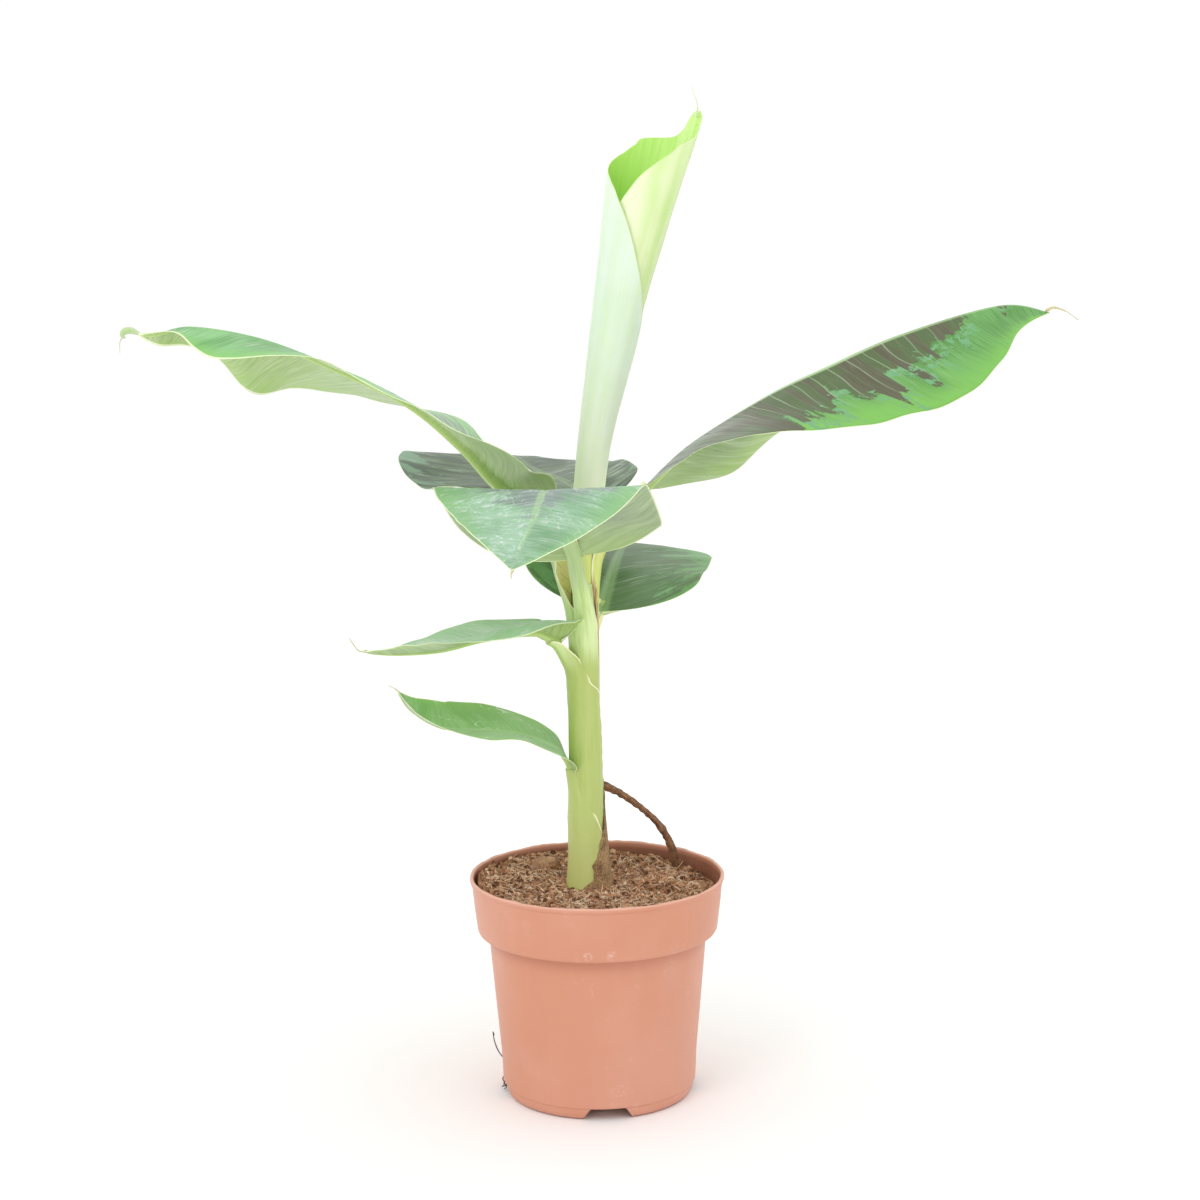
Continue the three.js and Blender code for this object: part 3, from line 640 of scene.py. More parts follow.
# The leaf stalks, with the sheaths that wrap the stem.
# Each row is x, y, z, radius of the curved back and half its angle, from the foot of the sheath up.
sheaths = {
    "frontStalk": dict(
        node="front_petiole", heading=262, seed=31, leaf="frontLeaf", dry=0.1, closed=390,
        path=[[-8, 0, 305, 12.2, 150], [-6.9, -1.2, 340, 10.9, 125], [-6.2, -3.8, 365, 9.9, 100],
              [-6.5, -7, 388, 9.3, 98], [-7.4, -12, 406, 8.5, 102], [-9.9, -19, 425, 7.1, 108],
              [-12.8, -27, 441, 6.5, 114], [-15, -34, 457, 6.4, 100], [-20, -40.5, 473, 6.6, 80],
              [-24.5, -45.5, 486, 6.2, 62]]),
    "leftStalk": dict(
        node="left_petiole", heading=175, seed=32, leaf="leftLeaf", dry=0.3,
        path=[[-8.5, 0, 350, 12.4, 150, 150], [-8.5, 1, 380, 12.6, 112, 140], [-10, 3.5, 403, 13, 84, 132],
              [-11.8, 5, 416, 13.6, 62, 126], [-15.5, 6.5, 430, 14, 42, 120], [-20, 7.5, 443, 13.4, 36, 112],
              [-27, 8.5, 457, 9.8, 68, 108], [-33.5, 8.7, 472, 6.6, 102, 108], [-38, 8, 489, 5.2, 112, 112]]),
    "rightStalk": dict(
        node="right_petiole", heading=2, seed=33, leaf="rightLeaf", dry=1.0, sunny=1.0,
        path=[[-8.5, 0, 335, 12.6, 70, 36], [-8.2, 1, 370, 12.5, 70, 34], [-7.8, 3, 398, 12, 70, 34],
              [-6.4, 6, 420, 11.2, 80, 56], [-3.8, 8, 436, 10, 92, 80], [0.6, 9, 451, 8.3, 98, 98],
              [10, 9.5, 468, 6.8, 106, 106], [24, 9, 489, 5.7, 112, 112], [41, 9, 507, 5.2, 116, 116]]),
    "backStalk": dict(
        node="back_petiole", heading=85, seed=34, leaf="backLeaf", dry=0.2,
        path=[[-8.5, 0, 345, 12.2, 150], [-8, 2, 375, 12.2, 130], [-8, 6, 405, 12, 106],
              [-8, 14, 430, 10, 100], [-7, 24, 456, 7.4, 106], [-4, 35, 480, 6.2, 112],
              [-1, 45, 492, 5.6, 116]]),
    "lowBackStalk": dict(
        node="low_back_petiole", heading=62, seed=35, leaf="lowBackLeaf", dry=0.06, closed=362,
        path=[[-8.5, 0, 295, 12.8, 164], [-8.3, 0.5, 335, 11.8, 138], [-7, 4, 360, 9.8, 108],
              [-4.4, 8, 378, 7, 104, 74], [-0.6, 12, 391, 5.6, 110, 60], [3.4, 14.4, 400, 5.2, 114, 50],
              [7.4, 22, 409, 4.6, 114, 50]]),
    "midLeftStalk": dict(
        node="mid_left_petiole", heading=195, seed=36, leaf="midLeftLeaf", dry=0.2, closed=340,
        path=[[-7.2, 0, 215, 14.2, 176], [-7.8, 0, 250, 14.1, 174], [-8.2, 0, 290, 13.9, 170],
              [-8.6, 0, 320, 13.5, 160], [-8.8, -0.2, 334, 14, 142], [-9.2, -0.6, 343, 13.9, 122],
              [-10.4, -1.4, 352, 13.3, 100], [-15, -4, 363, 10.6, 106], [-21, -6.8, 371.5, 8.2, 112],
              [-28, -9.5, 381, 6, 100], [-33, -12, 385, 5.4, 84]]),
    "lowLeftStalk": dict(
        node="low_left_petiole", heading=200, seed=37, leaf="lowLeftLeaf", dry=0.2, closed=236,
        path=[[-6.5, 0, 176, 19.2, 165], [-7.2, 0, 200, 16.8, 150], [-8, -0.2, 222, 15.8, 128],
              [-9.4, -1, 239, 14.6, 104], [-13, -3.4, 255, 10.4, 104], [-16.6, -5, 266, 7.2, 110],
              [-19, -6, 274, 5, 112]]),
}

sheathDetail = dict(steps=110, columns=56, wall=2.1, rim=0.45, ribs=0.06, ribSpacing=1.5)
farIn = 99                                  # fromEdge where a piece has no margin


def makeSheath(name, spec, material, slot="petiole_green", ragged=0.0, over=4.0):
    d = sheathDetail
    table = np.array([row + row[4:5] if len(row) == 5 else row for row in spec["path"]], float)
    fine = along(table, np.linspace(0, 1, 600))
    travelled = np.concatenate([[0], np.cumsum(np.linalg.norm(np.diff(fine[:, :3], axis=0), axis=1))])
    share = np.linspace(0, 1, d["steps"] + 1)
    row = np.stack([np.interp(share * travelled[-1], travelled, fine[:, k]) for k in range(6)], -1)
    centre, radius = row[:, :3], row[:, 3]
    direction = unit(np.gradient(centre, axis=0))
    # the stalk runs on a little under the blade
    centre = centre + direction * (over * smooth(0.9, 1, share))[:, None]
    heading = math.radians(spec["heading"])
    side = np.array([math.sin(heading), -math.cos(heading), 0.0])
    if "leaf" in spec:
        leaf = leafShapes[spec["leaf"]]
        first, second = (np.array(p, float) for p in leaf["spine"][:2])
        last = sideways(leaf, unit(second - first)[None], np.zeros(1))[0]
        side = side + (last - side) * smooth(0.45, 1, share)[:, None]
    side = unit(side - direction * (side * direction).sum(-1, keepdims=True))
    outward = np.cross(direction, side)
    u = np.linspace(-1, 1, d["columns"] + 1)
    u = np.sign(u) * (1 - (1 - np.abs(u)) ** 1.15)
    long = (share * travelled[-1])[:, None]
    wobble = 1 + 0.05 * ripple(long / 22, 0.7 * u, spec["seed"]) * np.abs(u)
    wobble = wobble + ragged * ripple(long / 9, np.sign(u) * 2, spec["seed"] + 5) * np.abs(u) ** 3
    half = np.radians(np.where(u < 0, row[:, 4:5], row[:, 5:6]))   # one angle for each margin
    angle = half * u * wobble
    thick = d["wall"] + (0.86 * radius - d["wall"]) * smooth(9.5, 6, radius)
    taper = np.clip(np.cos(u * math.pi / 2), 0, 1) ** 0.6
    wall = d["rim"] + (thick[:, None] - d["rim"]) * taper
    across = angle * radius[:, None]
    lift = 0.35 * smooth(0.8, 1, np.abs(u)) * ripple(long / 16, np.sign(u), spec["seed"] + 9)
    ribs = d["ribs"] * np.cos(math.tau * across / d["ribSpacing"]) * smooth(5, 9, radius)[:, None]
    outer = radius[:, None] + lift + ribs
    ray = rays(angle, outward, side)
    outside = centre[:, None] + outer[..., None] * ray
    inside = centre[:, None] + (outer - wall)[..., None] * ray
    fromEdge = half * (1 - np.abs(u)) * radius[:, None]
    newShell(name, outside, inside, material, slot, [spec["node"]] if "node" in spec else [], "inner",
             dict(across=across, lengthwise=long, fromEdge=fromEdge, height=centre[:, 2:3]))


def stalkMaterial(name, dry, seed, sunny=0.0, closed=452):   # the channel is green above closed
    w = Wiring(name + "Skin", roughness=0.38)
    across, lengthwise, height = w.read("across"), w.read("lengthwise"), w.read("height")
    fromEdge, inner = w.read("fromEdge"), w.read("inner")

    def drawn(wide, long, shift, detail=3.0, roughness=0.55):   # noise drawn out along the stalk
        spot = w.place(w.over(across, wide), w.over(lengthwise, long), seed + shift)
        return w.noise(spot, 1.0, detail, roughness)

    fine = drawn(0.9, 34, 0.0, 4.0, 0.6)
    band = drawn(6, 60, 7.0, 2.0)
    spot = drawn(2.2, 7, 3.0, 5.0, 0.7)
    green = w.mix(w.step(band, 0.34, 0.64), colour(180, 210, 112), colour(218, 238, 168))
    green = w.mix(w.times(w.step(fine, 0.35, 0.7), 0.6), green, colour(224, 240, 182))
    green = w.mix(w.step(height, 420, 450, 0.0, 0.75), green, colour(170, 196, 138))
    # painted highlight: pale whitish streaks along the stalk high up
    green = w.mix(w.times(w.step(height, 430, 450), w.step(band, 0.46, 0.6, 0.0, 0.6)), green,
                  colour(204, 214, 196))
    # darker and more olive low down: partly the stem's own colour, partly painted shade below the highlight
    # higher up
    green = w.mix(w.step(height, 386, 360, 0.0, 0.8), green, colour(176, 190, 98))
    green = w.mix(w.times(w.step(height, 250, 190), 0.5), green, colour(206, 206, 132))
    if sunny:                               # yellow high up, on a sheath in the light
        green = w.mix(w.step(height, 345, 410, 0.0, sunny * 0.75), green, colour(226, 232, 120))
    # the inside's own pale yellow, lifted brighter as painted light shining through the thin sheath
    inside = w.mix(w.step(fine, 0.35, 0.6), colour(255, 248, 150), colour(255, 254, 206))
    slanted = w.noise(w.place(w.plus(w.over(across, 1.6), w.over(lengthwise, 2.6)),
                              w.over(lengthwise, 16), seed), 1.0, 2.0)
    inside = w.mix(w.step(slanted, 0.60, 0.66, 0.0, 0.5), inside, colour(196, 142, 74))
    inside = w.mix(w.step(height, 420, 402, 0.0, 0.65), inside, colour(176, 124, 68))
    inside = w.mix(w.step(height, closed, closed + 12), inside, colour(196, 216, 140))
    base = w.mix(inner, green, inside)
    brown = w.mix(w.step(fine, 0.35, 0.65), colour(158, 112, 72), colour(214, 184, 142))
    ragged = w.plus(fromEdge, w.times(spot, 9.0))
    withered = w.times(w.step(ragged, 6.6 + 3 * dry, 3.6 + 3 * dry), dry * 1.1, clamp=True)
    withered = w.times(withered, w.step(height, 444, 425))
    base = w.mix(withered, base, brown)
    speck = w.times(w.step(spot, 0.66, 0.72), dry * 0.7, clamp=True)
    base = w.mix(w.times(speck, w.step(height, 440, 400)), base, colour(124, 90, 62))
    creamEdge = w.times(w.step(fromEdge, 1.8, 1.1), w.minus(1.0, withered))
    base = w.mix(creamEdge, base, colour(252, 250, 206))
    w.bump(w.plus(fine, w.times(spot, 0.6)), 0.0004, 0.4)
    return w.finish(base, w.step(fine, 0.2, 0.8, 0.3, 0.48))


for name, spec in sheaths.items():
    extra = {key: spec[key] for key in ("sunny", "closed") if key in spec}
    makeSheath(name, spec, stalkMaterial(name, spec["dry"], spec["seed"], **extra))
print("stalks and sheaths")


# The middle of the stem, and the foot of the rolled leaf.
stemCore = dict(
    path=[[-6, 0, 174, 18.4], [-6.5, 0, 205, 15.2], [-7.6, 0, 240, 13], [-8, 0, 300, 11.6],
          [-8, 1, 360, 10.6], [-8, 2, 400, 9.6], [-7.5, 3, 430, 8.6]],
    sides=84, steps=90,
)
rolledStalk = dict(
    path=[[-7.5, 3, 400, 8.2], [-7.6, 6, 440, 8.8], [-7.4, 11, 459, 9.6], [-6.4, 14, 476, 10],
          [-5.6, 14, 486, 10.2]],
    sides=72, steps=60,
)


def makeRod(name, spec, material, slot, node):
    fine = along(np.array(spec["path"], float), np.linspace(0, 1, spec["steps"] + 1))
    centre, radius = fine[:, :3], fine[:, 3]
    direction = unit(np.gradient(centre, axis=0))
    east, north = compass(direction)
    angle = fullTurn(spec["sides"])
    long = (centre[:, 2] - centre[0, 2])[:, None]
    r = radius[:, None] + 0.12 * np.cos(angle * 26) + 0.25 * ripple(angle * 0.8, long / 60, 71)
    ring = centre[:, None] + r[..., None] * rays(angle, east, north)
    points = np.concatenate([ring.reshape(-1, 3), centre[:1], centre[-1:]])
    numbers = dict(across=angle * 14, lengthwise=long, fromEdge=farIn, height=centre[:, 2:3], inner=0)
    attributes = {key: np.append(np.broadcast_to(values, r.shape).ravel(), [0, 0])
                  for key, values in numbers.items()}
    newPiece(name, points, ringFaces(*r.shape), material, slot, [node], attributes)


makeRod("stemCore", stemCore, stalkMaterial("stemCore", 0.5, 3.0), "stem_sheath", "pseudostem")
makeRod("rolledLeafFoot", rolledStalk, stalkMaterial("rolledLeafFoot", 0.0, 5.0, 1.0),
        "petiole_green", "rolled_leaf_stalk")
print("stem")


deadSheath = dict(
    heading=32, seed=41,
    path=[[-6, 0, 175, 20.2, 140], [-6.5, 0, 194, 17.9, 112], [-7, 0, 214, 16.6, 82],
          [-7.4, 0.4, 236, 15.3, 52], [-7.4, 1, 254, 14.6, 30], [-6.6, 2, 266, 14, 12]],
)
deadStalk = dict(
    path=[[-1, 8, 262], [23, 20, 247], [49, 35, 222], [62, 50, 198], [70, 58, 170]],
    radius=[3.4, 2.7, 2.5, 3.0, 4.6], sides=22, steps=130,
    ridges=5, knob=(55.5, 38, 212), knobSize=2.2,
)
barkChip = dict(centre=(-44, 44, 181.5), size=(9.4, 8.6, 6.4), turn=-0.35, seed=43, rows=36, columns=56)


def dryMaterial(name, darkTone, lightTone, scale=1.0):
    w = Wiring(name + "Skin", roughness=0.82, specular=0.25)
    spot = w.where()
    grain = w.noise(spot, 900 * scale, 5.0, 0.65)
    patch = w.noise(spot, 140 * scale, 3.0)
    base = w.mix(w.step(w.plus(w.times(grain, 0.6), w.times(patch, 0.4)), 0.36, 0.64),
                 darkTone, lightTone)
    w.bump(grain, 0.0006, 0.8)
    return w.finish(base)


def makeDeadStalk(material):
    d = deadStalk
    t, at, direction, length = stations(d["path"], d["steps"])
    side = unit(np.cross(direction, [0.02, 1, 0.03]))
    up = np.cross(side, direction)
    angle = fullTurn(d["sides"])
    long = (t * length)[:, None]
    shrunken = 0.13 * np.cos(angle * d["ridges"] + long * 0.02) + 0.1 * ripple(angle * 0.9, long / 9, 42)
    r = along(d["radius"], t)[:, None] * (1 + shrunken)
    ring = at[:, None] + r[..., None] * rays(angle, side, up)
    near = np.linalg.norm(ring - np.array(d["knob"]), axis=-1)
    ring = ring + (d["knobSize"] * np.exp(-(near / 4) ** 2))[..., None] * unit(ring - at[:, None])
    points = np.concatenate([ring.reshape(-1, 3), at[:1], at[-1:]])
    newPiece("deadStalk", points, ringFaces(*r.shape), material, "dry_tissue", ["dry_stalk"])


def makeBarkChip(material):
    d = barkChip
    rows, columns = d["rows"], d["columns"]
    polar = np.linspace(0.02, math.pi - 0.02, rows)[:, None]
    turn = fullTurn(columns)

    def squared(v, power):                  # a power under 1 makes the ball boxy
        return np.sign(v) * np.abs(v) ** power

    x = squared(np.sin(polar), 0.7) * squared(np.cos(turn), 0.8)
    y = squared(np.sin(polar), 0.7) * squared(np.sin(turn), 0.8)
    z = squared(np.cos(polar), 0.75) + 0 * x
    swell = 1 + 0.08 * ripple(x * 1.1 + z, y * 1.1, d["seed"])
    swell = swell + 0.03 * ripple(x * 4 + z, y * 4 - z, d["seed"] + 1)
    points = (np.stack([x, y, z], -1) * swell[..., None] * d["size"]).reshape(-1, 3)
    points = turned(points, d["turn"]) + d["centre"]
    faces = [list(f) for f in gridFaces(rows, columns, wrap=True, flip=True)]
    faces += [list(range(columns)), list(range(rows * columns - 1, (rows - 1) * columns - 1, -1))]
    newPiece("barkChip", points, faces, material, "bark", ["bark_chip"])


withered = dryMaterial("deadSheath", colour(112, 82, 56), colour(186, 154, 112), 0.6)
makeSheath("deadSheath", deadSheath, withered, slot="dry_tissue", ragged=0.025, over=0)
makeDeadStalk(dryMaterial("deadStalk", colour(96, 66, 46), colour(164, 124, 90)))
makeBarkChip(dryMaterial("barkChip", colour(146, 106, 76), colour(204, 164, 130), 0.7))
print("dead tissue and bark chip")


pot = dict(
    # radius and height of the outer face, foot to lip
    outside=[[75.2, 0], [77.2, 1.4], [78.8, 5], [79.4, 8.6], [79.2, 9.4], [80.5, 10.2], [80.8, 12.5],
             [81.7, 35], [85.4, 77], [88.4, 112], [90.7, 139.2], [98.6, 139.4], [99.7, 141.4], [102.0, 161],
             [103.9, 181], [105.0, 181.7], [105.6, 183.2], [105.4, 185], [104.4, 186]],
    inside=[[77.2, 8.6], [79.5, 36], [83.2, 78], [86.2, 112], [88.5, 138.6], [89.6, 141.6], [97.2, 142.2],
            [98, 144], [100, 162], [102.1, 181], [102.6, 185.2]],
    under=[[0, 0.4], [13.2, 0.4], [14, 1.2], [14, 6], [71.6, 6], [72.2, 5.2], [72.4, 0.6]],
    floor=8.6, round=0.6, segments=192, oval=0.003,
    notch=dict(count=4, turn=5, wide=44, narrow=29, height=9.9, below=-2.4, near=67, far=86, corner=2.2),
    scuffs=[(-8, 145, 5.5), (11, 145, 6), (11, 173, 4), (-43, 76, 5), (56, 98, 8)],   # x, height, size
    shade=(122, 138.8, 139.2),              # heights: painted shade close under the collar
    shine=(183.8, 185.2),                   # heights: the painted highlight along the lip
)


def rounded(profile, size):                 # the same outline with small round corners
    profile = [np.array(p, float) for p in profile]
    made = [profile[0]]
    for before, corner, after in zip(profile, profile[1:], profile[2:]):
        back, ahead = before - corner, after - corner
        reach = min(size, 0.4 * np.linalg.norm(back), 0.4 * np.linalg.norm(ahead))
        start, end = corner + unit(back) * reach, corner + unit(ahead) * reach
        for k in range(5):
            h = k / 4
            made.append((1 - h) ** 2 * start + 2 * h * (1 - h) * corner + h * h * end)
    return np.array(made + [profile[-1]])


def denser(profile, most):                  # no stretch longer than most
    made = [profile[0]]
    for a, b in zip(profile, profile[1:]):
        count = max(1, math.ceil(np.linalg.norm(b - a) / most))
        made += [a + (b - a) * k / count for k in range(1, count + 1)]
    return np.array(made)


def lathe(profile, segments):               # a closed turned body; the profile starts and ends on the axis
    inner = profile[1:-1]
    angle = fullTurn(segments)
    ring = np.stack([inner[:, :1] * np.cos(angle), inner[:, :1] * np.sin(angle),
                     inner[:, 1:] + 0 * angle], -1)
    points = np.concatenate([ring.reshape(-1, 3), [[0, 0, profile[0][1]], [0, 0, profile[-1][1]]]])
    return points, ringFaces(len(inner), segments)


def potMaterial():
    w = Wiring("potPlastic", roughness=0.42, specular=0.45)
    spot = w.where()
    cloud = w.noise(spot, 9, 3.0, 0.5)
    streaky = w.noise(w.node("Mapping", {"Vector": spot, "Scale": (60, 60, 5)}).outputs[0], 1.0, 3.0, 0.6)
    grainy = w.noise(spot, 700, 3.0, 0.6)
    base = w.mix(w.step(cloud, 0.35, 0.65), colour(208, 142, 114), colour(212, 150, 126))
    base = w.mix(w.times(w.step(streaky, 0.45, 0.75), 0.1), base, colour(216, 162, 142))
    rubbed = w.times(w.step(w.noise(spot, 34, 5.0, 0.75), 0.54, 0.72), w.step(grainy, 0.46, 0.66))
    base = w.mix(w.times(rubbed, 0.34), base, colour(236, 196, 180))
    dots = w.node("TexVoronoi", {"Vector": spot, "Scale": 160}, feature="F1").outputs["Distance"]
    dirt = w.times(w.step(dots, 0.09, 0.05), w.step(w.noise(spot, 55, 2.0), 0.54, 0.6))
    base = w.mix(w.times(dirt, 0.5), base, colour(150, 104, 84))
    marks = None
    for x, z, size in pot["scuffs"]:
        place = w.place(x * mm, -math.sqrt(100 ** 2 - x ** 2) * mm, z * mm)
        away = w.node("VectorMath", {0: spot, 1: place}, operation="DISTANCE").outputs["Value"]
        mark = w.step(away, size * mm, size * 0.3 * mm)
        marks = mark if marks is None else w.math("MAXIMUM", marks, mark)
    marks = w.times(marks, w.step(w.noise(spot, 330, 4.0, 0.8), 0.45, 0.62))
    base = w.mix(w.times(marks, 0.5), base, colour(240, 206, 198))
    height = w.node("SeparateXYZ", {"Vector": spot}).outputs["Z"]
    start, full, stop = (z * mm for z in pot["shade"])
    # painted shade under the collar's ledge: the body darker just below it
    paintedCollarShade = w.times(w.step(height, start, full), w.math("LESS_THAN", height, stop))
    base = w.mix(w.times(paintedCollarShade, 0.4), base, colour(178, 112, 86))
    start, full = (z * mm for z in pot["shine"])
    # painted highlight: a lighter line along the lip
    base = w.mix(w.step(height, start, full, 0.0, 0.4), base, colour(248, 204, 186))
    # painted shade inside the collar: the wall darker and browner in noisy patches
    paintedInnerShade = w.times(w.read("within"), w.step(w.noise(spot, 40, 4.0, 0.6), 0.3, 0.6, 0.75, 1.0))
    base = w.mix(w.times(paintedInnerShade, 0.8), base, colour(126, 78, 56))
    w.bump(w.plus(grainy, w.times(streaky, 1.4)), 0.0002, 0.35)
    return w.finish(base, w.step(grainy, 0.3, 0.7, 0.36, 0.52))


def notchCutter(k):
    d = pot["notch"]
    foot, top = d["wide"] / 2, d["narrow"] / 2
    shape = rounded([[-foot, d["below"]], [-top, d["height"]], [top, d["height"]], [foot, d["below"]]],
                    d["corner"])
    count = len(shape)
    ring = np.array([[x, y, z] for y in (-d["near"], -d["far"]) for x, z in shape])
    ring = turned(ring, math.radians(d["turn"] + 360 * k / d["count"]))
    faces = [list(range(count)), list(range(2 * count - 1, count - 1, -1))]
    faces += [[j, count + j, count + (j + 1) % count, (j + 1) % count] for j in range(count)]
    return ring, faces


def makePot(material):
    outer = denser(rounded(pot["outside"] + pot["inside"][::-1], pot["round"]), 6)
    under = denser(rounded(pot["under"] + [pot["outside"][0]], 0.4), 8)
    profile = np.concatenate([under[:-1], outer, [[0, pot["floor"]]]])
    points, faces = lathe(profile, pot["segments"])
    angle = np.arctan2(points[:, 1], points[:, 0])
    lip = smooth(178, 185, points[:, 2]) * smooth(101, 104.5, np.hypot(points[:, 0], points[:, 1]))
    nudge = lip * (0.35 * ripple(angle * 3, 0 * angle, 51) + 0.2 * ripple(angle * 11, 0 * angle, 52))
    points[:, 2] += np.minimum(nudge, 0.4)
    oval = pot["oval"] * np.sin(2 * angle + 0.6) * smooth(60, 186, points[:, 2])
    points[:, :2] *= (1 + oval)[:, None]
    shell = newPiece("potShell", points, faces, material, "pot_plastic", ["pot"])
    places, sides = joined([notchCutter(k) for k in range(pot["notch"]["count"])])
    mesh = bpy.data.meshes.new("notchCutter")
    mesh.from_pydata((places * mm).tolist(), [], sides)
    cutter = addObject("notchCutter", mesh)
    cut = shell.modifiers.new("notches", "BOOLEAN")
    cut.operation, cut.object, cut.solver = "DIFFERENCE", cutter, "EXACT"
    bpy.context.view_layer.update()
    done = bpy.data.meshes.new_from_object(shell.evaluated_get(bpy.context.evaluated_depsgraph_get()))
    shell.modifiers.clear()
    shell.data = done
    bpy.data.objects.remove(cutter)
    shell.data.shade_smooth()
    place = np.array([v.co for v in done.vertices]) / mm
    reach, height = np.hypot(place[:, 0], place[:, 1]), place[:, 2]
    # 1 on the inside of the collar, where shade is painted in darker
    within = smooth(0.3, -0.3, reach - 98.5 - 0.1125 * (height - 141)) * smooth(143, 146, height)
    within = within * smooth(184, 180, height)
    done.attributes.new("within", "FLOAT", "POINT").data.foreach_set("value", within.astype(np.float32))


makePot(potMaterial())
print("pot")


soil = dict(
    level=177, slopeX=-0.045, slopeY=0.02, flat=24, stemX=-6, edge=99.2,
    rings=96, segments=280, lumps=1.2,
    hollows=[(-74, 12, 13, 6, 3.2), (-52, 42, 7, 7, 2.6)],   # x, y, half sizes, depth
    # radius and height against the pot, from the bottom up
    wall=[(76.8, 9), (82.6, 78), (85.6, 112), (87.9, 138), (88.9, 142.8), (96.4, 143.6), (97.4, 146),
          (99.2, 160)],
    crumbs=4200, fibres=3000, straws=650, seed=61, strandRows=6, strandSides=4,
)


def soilHeight(x, y):
    away = np.clip((np.hypot(x - soil["stemX"], y) - soil["flat"]) / 20, 0, 1)
    base = soil["level"] - 0.6 + away * (soil["slopeX"] * x + soil["slopeY"] * y)
    base = base + 2.6 * smooth(66, 94, -x - 0.25 * y) - 1.5 * smooth(60, 95, x)
    lump = ripple(x / 34, y / 34, 62) * 0.8 + ripple(x / 13, y / 13, 63, 11) * 0.8
    lump = lump + ripple(x / 5, y / 5, 64, 15) * 0.45
    for atX, atY, halfX, halfY, depth in soil["hollows"]:
        base = base - depth * np.exp(-(((x - atX) / halfX) ** 2 + ((y - atY) / halfY) ** 2))
    return base + soil["lumps"] * lump * (0.4 + 0.6 * away)


def soilMaterial(name, rough=0.95):
    w = Wiring(name, roughness=rough, specular=0.15)
    tone = w.read("tone")
    spot = w.where()
    grain = w.noise(spot, 1500, 4.0, 0.7)
    patch = w.noise(spot, 60, 3.0)
    level = w.plus(tone, w.times(w.minus(grain, 0.5), 0.5))
    base = w.mix(w.step(level, 0.05, 0.5), colour(86, 54, 38), colour(204, 150, 112))
    base = w.mix(w.step(level, 0.45, 0.95), base, colour(252, 226, 196))
    base = w.mix(w.times(w.step(patch, 0.5, 0.68), 0.45), base, colour(146, 94, 64))
    hollow = w.noise(spot, 140, 4.0, 0.65)   # painted shade: darker gaps between the clumps
    base = w.mix(w.step(hollow, 0.56, 0.64, 0.0, 0.75), base, colour(66, 42, 32))
    base = w.mix(w.step(hollow, 0.42, 0.34, 0.0, 0.4), base, colour(238, 200, 164))
    w.bump(grain, 0.0008, 0.8)
    return w.finish(base)


def makeSoilBed(material):
    d = soil
    angle = fullTurn(d["segments"])
    reach = d["edge"] * np.linspace(0, 1, d["rings"] + 1)[1:, None]
    x, y = reach * np.cos(angle), reach * np.sin(angle)
    top = np.stack([x, y, soilHeight(x, y)], -1)[::-1]   # from the wall inwards
    sides = [np.stack([r * np.cos(angle), r * np.sin(angle), h + 0 * angle], -1) for r, h in d["wall"]]
    rings = np.concatenate([sides, top])
    middle = soilHeight(np.zeros(1), np.zeros(1))[0]
    points = np.concatenate([rings.reshape(-1, 3), [[0, 0, d["wall"][0][1]], [0, 0, middle]]])
    tone = 0.28 + 0.1 * ripple(points[:, 0] / 4, points[:, 1] / 4, 65, 15)
    newPiece("soilBed", points, ringFaces(*rings.shape[:2]), material, "fibre_soil", ["soil"],
             dict(tone=tone))


def scatter(draw, count, most):
    turn, reach = draw.uniform(0, math.tau, count), most * np.sqrt(draw.uniform(0, 1, count))
    x, y = reach * np.cos(turn), reach * np.sin(turn)
    keep = np.hypot(x - soil["stemX"], y) > 17
    return x[keep], y[keep]


def makeCrumbs(material):
    draw = np.random.default_rng(soil["seed"])
    g = (1 + 5 ** 0.5) / 2
    ball = unit(np.array([[-1, g, 0], [1, g, 0], [-1, -g, 0], [1, -g, 0], [0, -1, g], [0, 1, g], [0, -1, -g],
                          [0, 1, -g], [g, 0, -1], [g, 0, 1], [-g, 0, -1], [-g, 0, 1]]))
    sides = np.array([[0, 11, 5], [0, 5, 1], [0, 1, 7], [0, 7, 10], [0, 10, 11], [1, 5, 9], [5, 11, 4],
                      [11, 10, 2], [10, 7, 6], [7, 1, 8], [3, 9, 4], [3, 4, 2], [3, 2, 6], [3, 6, 8],
                      [3, 8, 9], [4, 9, 5], [2, 4, 11], [6, 2, 10], [8, 6, 7], [9, 8, 1]])
    x, y = scatter(draw, soil["crumbs"], 97)
    z = soilHeight(x, y)
    points, faces, tones = [], [], []
    for k in range(len(x)):
        size = draw.uniform(0, 1) ** 4 * 2.2 + 0.55
        squash = draw.uniform(0.5, 1.2, 3)
        lump = ball * squash * size * (1 + draw.uniform(-0.3, 0.3, (12, 1)))
        points.append(lump + [x[k], y[k], z[k] + size * 0.25])
        faces.append(sides + 12 * k)
        tones.append(np.full(12, draw.uniform(0.05, 0.75)))
    newPiece("soilCrumbs", np.concatenate(points), np.concatenate(faces), material, "fibre_soil",
             attributes=dict(tone=np.concatenate(tones)), smoothShade=False)


def strand(draw, start, heading, length, thick, rise, curl, steps, sides):
    t = np.linspace(0, 1, steps + 1)
    turn = heading + curl * (t - 0.5) + 0.5 * curl * np.sin(t * 7 + draw.uniform(0, 6))
    step = length / steps
    x = start[0] + np.concatenate([[0], np.cumsum(np.cos(turn[:-1]) * step)])
    y = start[1] + np.concatenate([[0], np.cumsum(np.sin(turn[:-1]) * step)])
    z = start[2] + rise * (t - 0.15) * length
    at = np.stack([x, y, z], -1)
    side = np.stack([-np.sin(turn), np.cos(turn), 0 * turn], -1)
    r = thick * (1 - 0.6 * t)[:, None, None]
    ring = at[:, None] + r * rays(fullTurn(sides), side, np.array([[0, 0, 1.0]]))
    return ring.reshape(-1, 3), at


